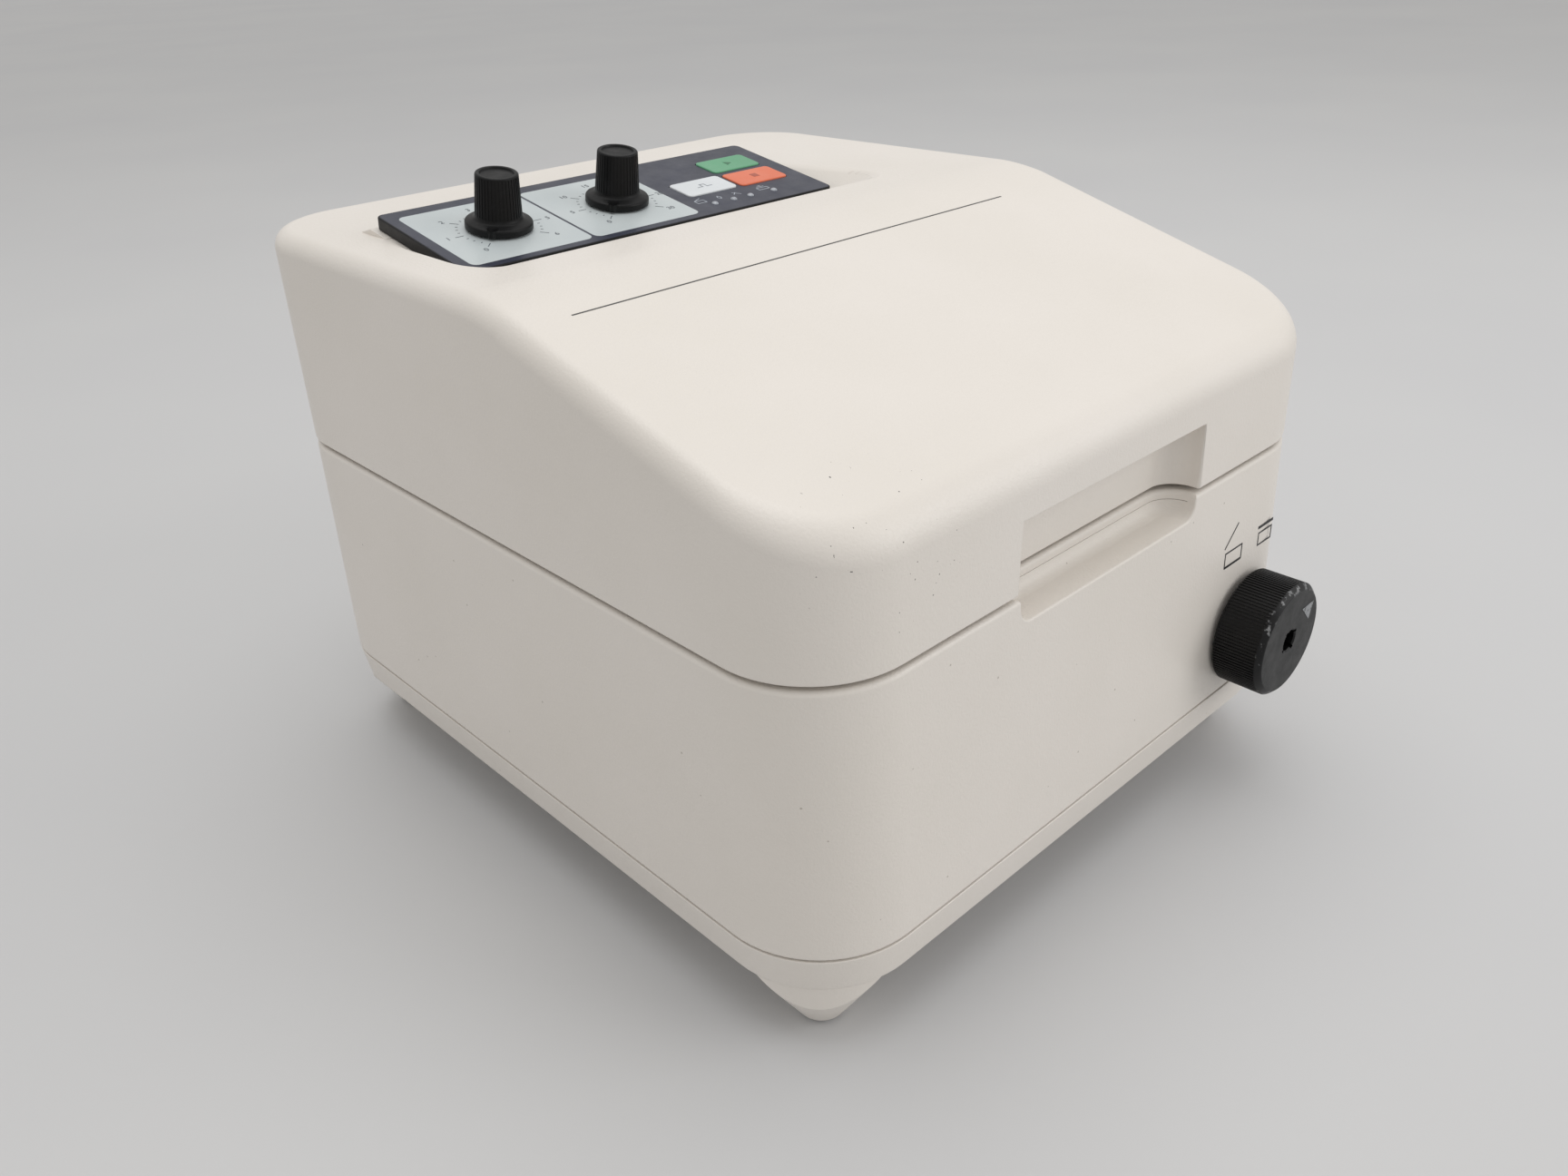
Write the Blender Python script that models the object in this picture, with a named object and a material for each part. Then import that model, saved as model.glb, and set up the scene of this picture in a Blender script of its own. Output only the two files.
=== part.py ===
"""Small benchtop centrifuge: a hinged lid with a tilted control panel over a housing with a rotor.

Lengths are written in millimetres times MM, so every value is in metres. The object stands on
z = 0 with +Z up, its front faces -Y, and every shape is drawn about the middle of the body.
"""
import math

import bmesh
import bpy
from mathutils import Matrix, Vector

MM = 0.001
GAP = 0.3 * MM

# Body: plan at the parting line, heights above the floor
HALF_WIDTH = 125 * MM
HALF_DEPTH = 142 * MM
CORNER_RADIUS = 32 * MM
CORNER_STEPS = 6
PARTING_Z = 123.5 * MM
PARTING_HALF_GAP = 0.8 * MM
SEAM_Z = 36 * MM
FLARE = 3 * MM
HOUSING_WALL = 4 * MM
RIM_BEVEL = 1.6 * MM

# Lid: flat back part, sloped front part
LID_TOP = 76 * MM
RIDGE_Y = -14.7 * MM
SLOPE = 0.285
LID_TAPER = 1.0 * MM
LID_WALL = 3.5 * MM
SIDE_ROUND = 9 * MM
FRONT_ROUND = 14 * MM
HINGE_Y = 148.6 * MM
HINGE_RADIUS = 5 * MM
HINGE_X = 72 * MM

# Finger recess
RECESS_HALF = 46 * MM
RECESS_Y = -130.5 * MM
RECESS_TOP = 22.5 * MM
SCOOP_DROP = 8.2 * MM

# Pan and feet
PAN_BOTTOM = 23.5 * MM
PAN_WALL = 3 * MM
PAN_TAPER = 1.8 * MM
FOOT_X = 105.5 * MM
FOOT_Y = 121.6 * MM
FOOT_TOP_RADIUS = 20.5 * MM
FOOT_TIP_RADIUS = 7 * MM
FOOT_TIP_Z = 1.2 * MM

# Chamber, rotor and motor, all on the vertical axis through the middle of the body
BOWL_RADIUS = 95 * MM
BOWL_FLOOR = 64.5 * MM
SHEET = 1.5 * MM
TUBES = 12
TUBE_RADIUS = 5.5 * MM
TUBE_DEPTH = 38 * MM
TUBE_MOUTH_RADIUS = 46 * MM
TUBE_MOUTH_Z = 102 * MM
SHAFT_RADIUS = 5 * MM
MOTOR_RADIUS = 40 * MM

# Lock: knob, shaft and crank low on the front wall, slide behind them
LOCK_X = 84 * MM
LOCK_Z = 60.5 * MM
LOCK_FACE_Y = -163.2 * MM
LOCK_BACK_Y = -145.4 * MM
LOCK_RADIUS = 20.8 * MM
CRANK = 9 * MM
LOCK_ANGLE = math.radians(53)
LATCH_TRAVEL = 2 * CRANK * math.sin(LOCK_ANGLE)
LATCH_Y = (-120.9 * MM, -118.1 * MM)

# Control panel: its own frame starts at the left-to-right middle of the slab's front edge
PANEL_TILT = math.radians(10.4)
PANEL_Y = 28.2 * MM
PANEL_RISE = 72 * MM
PANEL_LEFT = -101.4 * MM
PANEL_RIGHT = 57.7 * MM
PANEL_DEPTH = 55.8 * MM
PANEL_THICK = 4 * MM
KNOB_U = (-73 * MM, -24.7 * MM)
KNOB_V = 26 * MM

# Rear wall fittings share one height
REAR_Z = 75 * MM
INLET_X = 66 * MM
SWITCH_X = 34 * MM
FUSE_X = 8 * MM
GRILLE_X = (-80 * MM, -22 * MM)
GRILLE_Z = (58 * MM, 96 * MM)

# The whole object's box is centred on the origin in plan
FRONT_REACH = -LOCK_FACE_Y
REAR_REACH = HINGE_Y + HINGE_RADIUS
BODY_CENTRE_Y = (FRONT_REACH - REAR_REACH) / 2

# Colour, roughness, metallic
FINISHES = {
    "housing": ((0.80, 0.77, 0.73), 0.5, 0.0),
    "black": ((0.015, 0.015, 0.016), 0.4, 0.0),
    "panel": ((0.045, 0.052, 0.085), 0.4, 0.0),
    "white": ((0.75, 0.77, 0.79), 0.4, 0.0),
    "green": ((0.12, 0.38, 0.20), 0.4, 0.0),
    "orange": ((0.80, 0.18, 0.08), 0.4, 0.0),
    "lamp": ((0.45, 0.48, 0.50), 0.2, 0.0),
    "rubber": ((0.03, 0.03, 0.03), 0.8, 0.0),
    "steel": ((0.55, 0.55, 0.56), 0.35, 1.0),
    "aluminium": ((0.60, 0.61, 0.62), 0.3, 1.0),
    "board": ((0.03, 0.20, 0.08), 0.5, 0.0),
    "winding": ((0.35, 0.22, 0.08), 0.5, 0.0),
    "brass": ((0.70, 0.55, 0.25), 0.3, 1.0),
}


# Solids: each function returns the vertices and faces of one closed shape

def lofted(rings, split=None):
    """Rings of equal length joined in order. The end rings are closed, folded along split."""
    count = len(rings[0])
    verts = [point for ring in rings for point in ring]
    faces = []
    for level in range(len(rings) - 1):
        low, high = level * count, (level + 1) * count
        for i in range(count):
            j = (i + 1) % count
            faces.append((low + i, low + j, high + j, high + i))
    for start in (0, (len(rings) - 1) * count):
        if split is None:
            faces.append(tuple(start + i for i in range(count)))
        else:
            first, second = split
            faces.append(tuple(start + i for i in range(first, second + 1)))
            front = list(range(second, count)) + list(range(first + 1))
            faces.append(tuple(start + i for i in front))
    return verts, faces


def turned(profile, steps, closed=False):
    """Profile of (radius, height) points turned about Z. A point on the axis becomes a pole."""
    verts, faces, rings = [], [], []
    for radius, height in profile:
        if radius == 0:
            rings.append([len(verts)] * steps)
            verts.append((0, 0, height))
            continue
        rings.append([len(verts) + i for i in range(steps)])
        for i in range(steps):
            angle = 2 * math.pi * i / steps
            verts.append((radius * math.cos(angle), radius * math.sin(angle), height))
    pairs = list(zip(rings, rings[1:]))
    if closed:
        pairs.append((rings[-1], rings[0]))
    for low, high in pairs:
        for i in range(steps):
            j = (i + 1) % steps
            corners = (low[i], low[j], high[j], high[i])
            faces.append(tuple(dict.fromkeys(corners)))
    return verts, faces


def prism(outline, axis, low, high):
    """Flat outline pushed along an axis. Its two values are the other two axes, in X, Y, Z order."""
    rings = []
    for place in (low, high):
        ring = []
        for first, second in outline:
            point = [first, second]
            point.insert("XYZ".index(axis), place)
            ring.append(tuple(point))
        rings.append(ring)
    return lofted(rings)


def block(low, high):
    (x0, y0, z0), (x1, y1, z1) = low, high
    return prism([(x0, y0), (x1, y0), (x1, y1), (x0, y1)], "Z", z0, z1)


def rod(centre, radius, axis, low, high, steps=16):
    """Round bar along an axis. Centre holds the other two axes' values, in X, Y, Z order."""
    outline = []
    for i in range(steps):
        angle = 2 * math.pi * i / steps
        outline.append((centre[0] + radius * math.cos(angle), centre[1] + radius * math.sin(angle)))
    return prism(outline, axis, low, high)


def moved(solid, matrix):
    verts, faces = solid
    return [tuple(matrix @ Vector(point)) for point in verts], faces


# Objects

def mesh_object(name, solid):
    mesh = bpy.data.meshes.new(name)
    model = bmesh.new()
    verts, faces = solid
    made = [model.verts.new(point) for point in verts]
    for face in faces:
        model.faces.new([made[i] for i in face])
    bmesh.ops.recalc_face_normals(model, faces=model.faces)
    model.to_mesh(mesh)
    model.free()
    item = bpy.data.objects.new(name, mesh)
    bpy.context.scene.collection.objects.link(item)
    return item


def combine(item, solid, operation):
    """Joins a solid to an object, or cuts it away, and keeps the result as the object's mesh."""
    tool = mesh_object("tool", solid)
    tool.hide_render = True
    tool.display_type = "WIRE"
    modifier = item.modifiers.new("combine", "BOOLEAN")
    modifier.operation = operation
    modifier.solver = "EXACT"
    modifier.object = tool
    depsgraph = bpy.context.evaluated_depsgraph_get()
    result = bpy.data.meshes.new_from_object(item.evaluated_get(depsgraph))
    item.modifiers.clear()
    old = item.data
    item.data = result
    bpy.data.meshes.remove(old)
    bpy.data.objects.remove(tool, do_unlink=True)


def make(name, finish, solid, joins=(), cuts=(), parent=None, place=None):
    """One named piece with its own material, riding on its parent empty."""
    item = mesh_object(name, solid)
    for solid in joins:
        combine(item, solid, "UNION")
    for solid in cuts:
        combine(item, solid, "DIFFERENCE")
    item.data.name = name
    colour, roughness, metallic = FINISHES[finish]
    material = bpy.data.materials.new(name + "_finish")
    material.use_nodes = True
    shader = material.node_tree.nodes["Principled BSDF"]
    shader.inputs["Base Color"].default_value = (*colour, 1)
    shader.inputs["Roughness"].default_value = roughness
    shader.inputs["Metallic"].default_value = metallic
    item.data.materials.clear()
    item.data.materials.append(material)
    item.data.shade_smooth()
    item.data.set_sharp_from_angle(angle=math.radians(30))
    if place is not None:
        item.matrix_basis = place
    if parent is not None:
        item.parent = parent
        item.matrix_parent_inverse = parent.matrix_world.inverted()
    return item


def axis_empty(name, location, parent=None):
    """Empty on a joint's axis. What moves with the joint is parented to it."""
    empty = bpy.data.objects.new(name, None)
    bpy.context.scene.collection.objects.link(empty)
    empty.location = location
    bpy.context.view_layer.update()
    if parent is not None:
        empty.parent = parent
        empty.matrix_parent_inverse = parent.matrix_world.inverted()
        bpy.context.view_layer.update()
    return empty


# Outlines of the body

def plan(inset=0, grow=0, side_points=()):
    """Body outline, counter-clockwise from the front right corner. Only the back doesn't grow."""
    half_x = HALF_WIDTH - inset + grow
    front = HALF_DEPTH - inset + grow
    back = HALF_DEPTH - inset
    radius = CORNER_RADIUS - inset + grow
    corners = (
        (half_x - radius, radius - front, -90, side_points, half_x),
        (half_x - radius, back - radius, 0, (), 0),
        (radius - half_x, back - radius, 90, side_points[::-1], -half_x),
        (radius - half_x, radius - front, 180, (), 0),
    )
    points = []
    for x, y, start, extra, side_x in corners:
        for step in range(CORNER_STEPS + 1):
            angle = math.radians(start + 90 * step / CORNER_STEPS)
            points.append((x + radius * math.cos(angle), y + radius * math.sin(angle)))
        points.extend((side_x, side_y) for side_y in extra)
    return points


def level(points, height):
    return [(x, y, height) for x, y in points]


def lid_surface(y):
    """Height of the lid's top above the parting line."""
    return LID_TOP + min(0, SLOPE * (y - RIDGE_Y))


def lid_rings(inset, drop, turns):
    """Rings from the lid's lower edge to its top, rounded over, set in and lowered evenly."""
    base = plan(inset, side_points=(RIDGE_Y,))
    rings = [level(base, PARTING_Z + PARTING_HALF_GAP)]
    for turn in range(turns + 1):
        angle = math.radians(90 * turn / turns)
        ring = []
        for (x, y), (inner_x, inner_y) in zip(base, plan(inset + MM, side_points=(RIDGE_Y,))):
            inward = Vector((inner_x - x, inner_y - y)).normalized()
            frontness = max(0, inward.y)
            round_radius = SIDE_ROUND + (FRONT_ROUND - SIDE_ROUND) * frontness - inset
            start = Vector((x, y)) + inward * LID_TAPER
            spot = start + inward * round_radius * (1 - math.cos(angle))
            height = lid_surface(spot.y) - drop - round_radius * (1 - math.sin(angle))
            ring.append((spot.x, spot.y, PARTING_Z + height))
        rings.append(ring)
    return rings


def around(count, start=0):
    """Evenly spaced angles."""
    return [start + 2 * math.pi * i / count for i in range(count)]


def corner_places():
    return [(x * FOOT_X, y * FOOT_Y) for x in (-1, 1) for y in (-1, 1)]


def panel_place(u=0, v=0):
    """Matrix of the panel's frame, moved along the panel."""
    corner = Matrix.Translation((0, PANEL_Y, PARTING_Z + PANEL_RISE))
    return corner @ Matrix.Rotation(PANEL_TILT, 4, "X") @ Matrix.Translation((u, v, 0))


# Base

def base_housing(parent):
    """Moulded shell with a deck. The chamber hole, finger scoop and rear openings are cut in it."""
    deck = PARTING_Z - PARTING_HALF_GAP
    underside = deck - HOUSING_WALL
    rings = [
        level(plan(HOUSING_WALL), underside),
        level(plan(HOUSING_WALL, FLARE), SEAM_Z + GAP),
        level(plan(0, FLARE), SEAM_Z + GAP),
        level(plan(), deck - RIM_BEVEL),
        level(plan(RIM_BEVEL * 0.3), deck - RIM_BEVEL * 0.3),
        level(plan(RIM_BEVEL), deck),
    ]
    joins = [block((-52 * MM, -140.5 * MM, 104 * MM), (52 * MM, -123 * MM, underside + MM))]
    cuts = []
    for x, y in corner_places():
        joins.append(rod((x, y), 5.5 * MM, "Z", 27.3 * MM, underside + MM, 12))
        reach = math.copysign(119.5 * MM, x)
        low, high = sorted((x, reach))
        joins.append(block((low, y - 1.5 * MM, 40 * MM), (high, y + 1.5 * MM, underside + 1.5 * MM)))
        cuts.append(rod((x, y), 2.3 * MM, "Z", 20 * MM, 52 * MM, 12))
    scoop_slope = (SCOOP_DROP - 0.8 * MM) / (HALF_DEPTH + RECESS_Y)
    scoop_out = -152 * MM
    scoop = [
        (RECESS_Y, deck + 9 * MM),
        (RECESS_Y, deck - 0.6 * MM),
        (scoop_out, deck - 0.6 * MM + scoop_slope * (scoop_out - RECESS_Y)),
        (scoop_out, deck + 9 * MM),
    ]
    x, z = INLET_X, REAR_Z
    inlet_hole = block((x - 14 * MM, 130 * MM, z - 10.5 * MM), (x + 14 * MM, 150 * MM, z + 10.5 * MM))
    x = SWITCH_X
    switch_hole = block((x - 7 * MM, 130 * MM, z - 10 * MM), (x + 7 * MM, 150 * MM, z + 10 * MM))
    cuts += [
        inlet_hole,
        switch_hole,
        rod((0, 0), 100 * MM, "Z", underside - 5 * MM, deck + 5 * MM, 48),
        prism(scoop, "X", -RECESS_HALF, RECESS_HALF),
        rod((LOCK_X, LOCK_Z), 6.3 * MM, "Y", -150 * MM, -130 * MM),
        block((70 * MM, -122 * MM, underside - MM), (92.4 * MM, -117 * MM, deck + MM)),
        rod((FUSE_X, REAR_Z), 6.3 * MM, "Y", 130 * MM, 150 * MM),
        block((GRILLE_X[0], 130 * MM, GRILLE_Z[0]), (GRILLE_X[1], 150 * MM, GRILLE_Z[1])),
    ]
    make("base_housing", "housing", lofted(rings), joins, cuts, parent)


def foot_ring(x, y, radius, height, limit):
    """Circle about a foot's axis, held inside the pan's corner arc of radius limit."""
    arc_x = math.copysign(HALF_WIDTH - CORNER_RADIUS, x)
    arc_y = math.copysign(HALF_DEPTH - CORNER_RADIUS, y)
    off_x, off_y = x - arc_x, y - arc_y
    points = []
    for angle in around(24):
        along_x, along_y = math.cos(angle), math.sin(angle)
        toward = off_x * along_x + off_y * along_y
        to_arc = math.sqrt(toward ** 2 + limit ** 2 - off_x ** 2 - off_y ** 2) - toward
        reach = min(radius, to_arc)
        points.append((x + reach * along_x, y + reach * along_y, height))
    return points


def base_pan(parent):
    """Tray that closes the housing from below, with a conical foot at each corner."""
    floor = PAN_BOTTOM + PAN_WALL
    inner = HOUSING_WALL + PAN_TAPER
    rings = [
        level(plan(inner, FLARE), floor),
        level(plan(HOUSING_WALL, FLARE), SEAM_Z),
        level(plan(0.6 * MM, FLARE), SEAM_Z),
        level(plan(0, FLARE), SEAM_Z - MM),
        level(plan(PAN_TAPER - 0.6 * MM, FLARE), PAN_BOTTOM + 0.8 * MM),
        level(plan(PAN_TAPER + 0.4 * MM, FLARE), PAN_BOTTOM),
    ]
    joins, cuts = [], []
    for x, y in corner_places():
        limit = CORNER_RADIUS - PAN_TAPER - 0.5 * MM + (FLARE if y < 0 else 0)
        foot = [
            foot_ring(x, y, FOOT_TIP_RADIUS - 0.4 * MM, FOOT_TIP_Z, limit),
            foot_ring(x, y, FOOT_TIP_RADIUS + 0.6 * MM, FOOT_TIP_Z + MM, limit),
            foot_ring(x, y, FOOT_TOP_RADIUS, PAN_BOTTOM, limit),
            foot_ring(x, y, FOOT_TOP_RADIUS, floor - MM, limit),
        ]
        joins.append(lofted(foot))
        cuts.append(rod((x, y), 4.5 * MM, "Z", 0, 9.3 * MM, 12))
        cuts.append(rod((x, y), 2.3 * MM, "Z", 9 * MM, floor + 2 * MM, 12))
    for x in (BOARD_X[0] + 4 * MM, BOARD_X[1] - 4 * MM):
        for y in (BOARD_Y[0] + 5 * MM, BOARD_Y[1] - 5 * MM):
            joins.append(rod((x, y), 3 * MM, "Z", floor - MM, BOARD_Z - GAP, 10))
    make("base_pan", "housing", lofted(rings), joins, cuts, parent)


def foot_pads(parent):
    for number, (x, y) in enumerate(corner_places(), 1):
        pad = [(0, 0.9 * MM), (5.6 * MM, 0.9 * MM), (5.6 * MM, 0.4 * MM), (5.2 * MM, 0), (0, 0)]
        place = Matrix.Translation((x, y, 0))
        make(f"foot_pad_{number}", "rubber", turned(pad, 20), parent=parent, place=place)


def chamber(parent):
    """Spun steel bowl with a flange on the deck, and the rubber grommet around the motor's neck."""
    rim = PARTING_Z - PARTING_HALF_GAP + GAP
    hole = 18 * MM
    bend = 10 * MM
    profile = [
        (108 * MM, rim + SHEET), (108 * MM, rim), (BOWL_RADIUS + SHEET, rim),
        (BOWL_RADIUS + SHEET, BOWL_FLOOR + bend), (BOWL_RADIUS - 0.3 * bend, BOWL_FLOOR + 0.1 * bend),
        (BOWL_RADIUS - bend, BOWL_FLOOR - SHEET), (hole, BOWL_FLOOR - SHEET), (hole, BOWL_FLOOR),
        (BOWL_RADIUS - bend, BOWL_FLOOR), (BOWL_RADIUS - 0.35 * bend, BOWL_FLOOR + 0.3 * bend),
        (BOWL_RADIUS, BOWL_FLOOR + bend), (BOWL_RADIUS, rim + SHEET),
    ]
    make("chamber_bowl", "steel", turned(profile, 48, True), parent=parent)
    low, high = BOWL_FLOOR - SHEET, BOWL_FLOOR
    grommet = [
        (14.3 * MM, high + 1.5 * MM), (14.3 * MM, low - 1.5 * MM), (21 * MM, low - 1.5 * MM),
        (21 * MM, low - GAP), (hole - GAP, low - GAP), (hole - GAP, high + GAP),
        (21 * MM, high + GAP), (21 * MM, high + 1.5 * MM),
    ]
    make("bowl_grommet", "rubber", turned(grommet, 24, True), parent=parent)


def motor(parent):
    """Motor on a ring plate, which stands on three rubber dampers on the pan."""
    case = [
        (0, 29 * MM), (MOTOR_RADIUS - 3 * MM, 29 * MM), (MOTOR_RADIUS, 32 * MM),
        (MOTOR_RADIUS, 43.3 * MM), (MOTOR_RADIUS + 5 * MM, 43.3 * MM), (MOTOR_RADIUS + 5 * MM, 46 * MM),
        (MOTOR_RADIUS, 46 * MM), (MOTOR_RADIUS - 2 * MM, 57 * MM), (14 * MM, 59 * MM),
        (14 * MM, 67 * MM), (SHAFT_RADIUS + 0.5 * MM, 67 * MM), (SHAFT_RADIUS + 0.5 * MM, 34 * MM),
        (0, 34 * MM),
    ]
    make("motor", "steel", turned(case, 32), parent=parent)
    ring = [
        (MOTOR_RADIUS + 0.5 * MM, 40 * MM), (62 * MM, 40 * MM),
        (62 * MM, 43 * MM), (MOTOR_RADIUS + 0.5 * MM, 43 * MM),
    ]
    make("motor_plate", "steel", turned(ring, 32, True), parent=parent)
    for number, angle in enumerate(around(3, math.pi / 2), 1):
        centre = (53.5 * MM * math.cos(angle), 53.5 * MM * math.sin(angle))
        damper = rod(centre, 7 * MM, "Z", 27.3 * MM, 39.7 * MM)
        make(f"motor_damper_{number}", "rubber", damper, parent=parent)


def rotor(parent):
    """Angle rotor with a ring of tube bores at 45 degrees, its nut and the motor's shaft."""
    lean = math.sqrt(0.5)
    outer_low = TUBE_MOUTH_RADIUS + TUBE_DEPTH * lean + 8 * MM
    bottom = TUBE_MOUTH_Z - TUBE_DEPTH * lean - 7 * MM
    dish = TUBE_MOUTH_Z - TUBE_MOUTH_RADIUS
    bore = SHAFT_RADIUS + GAP
    profile = [
        (bore, bottom), (bore, bottom + 35 * MM), (13 * MM, bottom + 35 * MM),
        (15 * MM, bottom + 33 * MM), (15 * MM, bottom + 18 * MM), (27 * MM, dish + 27 * MM),
        (56 * MM, dish + 56 * MM), (62 * MM, dish + 56 * MM), (outer_low, bottom + 28 * MM),
        (outer_low, bottom + 9.5 * MM), (outer_low - 9 * MM, bottom),
    ]
    drills = []
    for angle in around(TUBES):
        turn = Matrix.Rotation(angle, 4, "Z")
        mouth = Matrix.Translation((TUBE_MOUTH_RADIUS, 0, TUBE_MOUTH_Z))
        tilt = Matrix.Rotation(math.radians(-45), 4, "Y")
        drill = rod((0, 0), TUBE_RADIUS, "Z", -TUBE_DEPTH, 12 * MM, 12)
        drills.append(moved(drill, turn @ mouth @ tilt))
    make("rotor", "aluminium", turned(profile, 48, True), (), drills, parent)
    shaft = [
        (0, 35 * MM), (SHAFT_RADIUS, 35 * MM), (SHAFT_RADIUS, bottom + 42 * MM),
        (0, bottom + 42 * MM),
    ]
    make("motor_shaft", "steel", turned(shaft, 16), parent=parent)
    low = bottom + 35 * MM + GAP
    nut = [
        (0, low + 10 * MM), (10 * MM, low + 10 * MM), (12 * MM, low + 8 * MM), (12 * MM, low),
        (bore, low), (bore, low + 7.5 * MM), (0, low + 7.5 * MM),
    ]
    make("rotor_nut", "steel", turned(nut, 24), parent=parent)


BOARD_X = (-114 * MM, -66 * MM)
BOARD_Y = (-55 * MM, 60 * MM)
BOARD_Z = 31 * MM


def power_parts(parent):
    """Drive board with its tall parts, and the transformer, on the pan under the bowl."""
    board = block((BOARD_X[0], BOARD_Y[0], BOARD_Z), (BOARD_X[1], BOARD_Y[1], BOARD_Z + 1.6 * MM))
    make("drive_board", "board", board, parent=parent)
    low = BOARD_Z + 1.6 * MM + GAP
    can = rod((-100 * MM, 38 * MM), 11 * MM, "Z", low, low + 26 * MM, 20)
    make("board_capacitor", "black", can, parent=parent)
    fin, pitch, fins = 2 * MM, 6 * MM, 4
    sink = []
    for number in range(fins):
        x = -70 * MM - number * pitch
        sink += [(x, low + 3 * MM), (x, low + 19 * MM)]
        sink += [(x - fin, low + 19 * MM), (x - fin, low + 3 * MM)]
    sink = [(-70 * MM, low)] + sink + [(x - fin, low)]
    make("board_heatsink", "aluminium", prism(sink, "Y", -40 * MM, 10 * MM), parent=parent)
    core = block((70 * MM, 0, 27.3 * MM), (112 * MM, 50 * MM, 60 * MM))
    window = block((78 * MM, -5 * MM, 35 * MM), (104 * MM, 55 * MM, 52 * MM))
    make("transformer_core", "steel", core, (), [window], parent)
    winding = block((79 * MM, -5 * MM, 36 * MM), (103 * MM, 55 * MM, 51 * MM))
    make("transformer_winding", "winding", winding, parent=parent)


def rear_parts(parent):
    """Mains inlet, fuse holder, switch frame and air grille in the rear wall."""
    wall = HALF_DEPTH
    face = wall + 2.8 * MM
    x, z = INLET_X, REAR_Z
    flange = block((x - 16 * MM, wall + GAP, z - 13 * MM), (x + 16 * MM, face, z + 13 * MM))
    tall, wide = 10.1 * MM, 13.6 * MM
    socket = block((x - wide, wall - 20 * MM, z - tall), (x + wide, wall + MM, z + tall))
    cavity = block((x - 12 * MM, wall - 15 * MM, z - 8 * MM), (x + 12 * MM, face + MM, z + 8 * MM))
    make("mains_inlet", "black", flange, [socket], [cavity], parent)
    carrier = block((x - 9 * MM, wall - 14.7 * MM, z - 4 * MM), (x + 9 * MM, wall - 13 * MM, z + 7 * MM))
    pins = []
    for pin_x, pin_z in ((-7, -1), (7, -1), (0, 4)):
        low = (x + (pin_x - 1) * MM, wall - 14 * MM, z + (pin_z - 2) * MM)
        high = (x + (pin_x + 1) * MM, wall - MM, z + (pin_z + 2) * MM)
        pins.append(block(low, high))
    make("mains_pins", "brass", carrier, pins, (), parent)

    x = SWITCH_X
    tall, wide = 11.5 * MM, 8.5 * MM
    flange = block((x - wide, wall + GAP, z - tall), (x + wide, wall + 2 * MM, z + tall))
    tall, wide = 9.7 * MM, 6.7 * MM
    body = block((x - wide, wall - 18 * MM, z - tall), (x + wide, wall + MM, z + tall))
    tall, wide = 8.7 * MM, 5.5 * MM
    cavity = block((x - wide, wall - 10 * MM, z - tall), (x + wide, wall + 4 * MM, z + tall))
    make("switch_frame", "black", flange, [body], [cavity], parent)

    cap = [
        (0, 5 * MM), (6.5 * MM, 5 * MM), (7.5 * MM, 4 * MM), (7.5 * MM, GAP), (6 * MM, GAP),
        (6 * MM, -22 * MM), (0, -22 * MM),
    ]
    place = Matrix.Translation((FUSE_X, wall, z)) @ Matrix.Rotation(math.radians(-90), 4, "X")
    make("fuse_holder", "black", turned(cap, 20), parent=parent, place=place)

    slots = []
    pitch, left, right = 4.5 * MM, GRILLE_X[0] + 5 * MM, GRILLE_X[1] - 5 * MM
    for row in range(7):
        low_z = GRILLE_Z[0] + 4.4 * MM + row * pitch
        high = (right, wall + 5 * MM, low_z + 2.2 * MM)
        slots.append(block((left, wall - 9 * MM, low_z), high))
    low = (GRILLE_X[0] + GAP, wall - 3.5 * MM, GRILLE_Z[0] + GAP)
    high = (GRILLE_X[1] - GAP, wall - 0.5 * MM, GRILLE_Z[1] - GAP)
    make("rear_grille", "black", block(low, high), (), slots, parent)


def power_rocker(parent):
    """Rocker with two faces about a pivot inside the frame, at rest pressed at the bottom."""
    rise, half, ridge = 7 * MM, 7.4 * MM, 5 * MM
    outline = [
        (0, -3 * MM), (ridge - MM, -half), (rise, -half), (ridge, 0), (rise, half),
        (ridge - MM, half), (0, 3 * MM),
    ]
    rocker = prism(outline, "X", -5.1 * MM, 5.1 * MM)
    pivot = Matrix.Translation((SWITCH_X, HALF_DEPTH - 3.5 * MM, REAR_Z))
    place = pivot @ Matrix.Rotation(math.radians(-8), 4, "X")
    make("power_rocker", "black", rocker, parent=parent, place=place)


def hinge_leaf(side, low_z, high_z, spans, web_z):
    """Solids of one leaf: a plate against the wall, and a knuckle with its web for each span."""
    x = side * HINGE_X
    plate_y = HALF_DEPTH + GAP
    solids = [block((x - 16 * MM, plate_y, low_z), (x + 16 * MM, plate_y + 2.5 * MM, high_z))]
    for start, end in spans:
        solids.append(rod((HINGE_Y, PARTING_Z), HINGE_RADIUS, "X", x + start, x + end))
        low = (x + start, plate_y, PARTING_Z + web_z[0])
        solids.append(block(low, (x + end, HINGE_Y, PARTING_Z + web_z[1])))
    return solids


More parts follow.
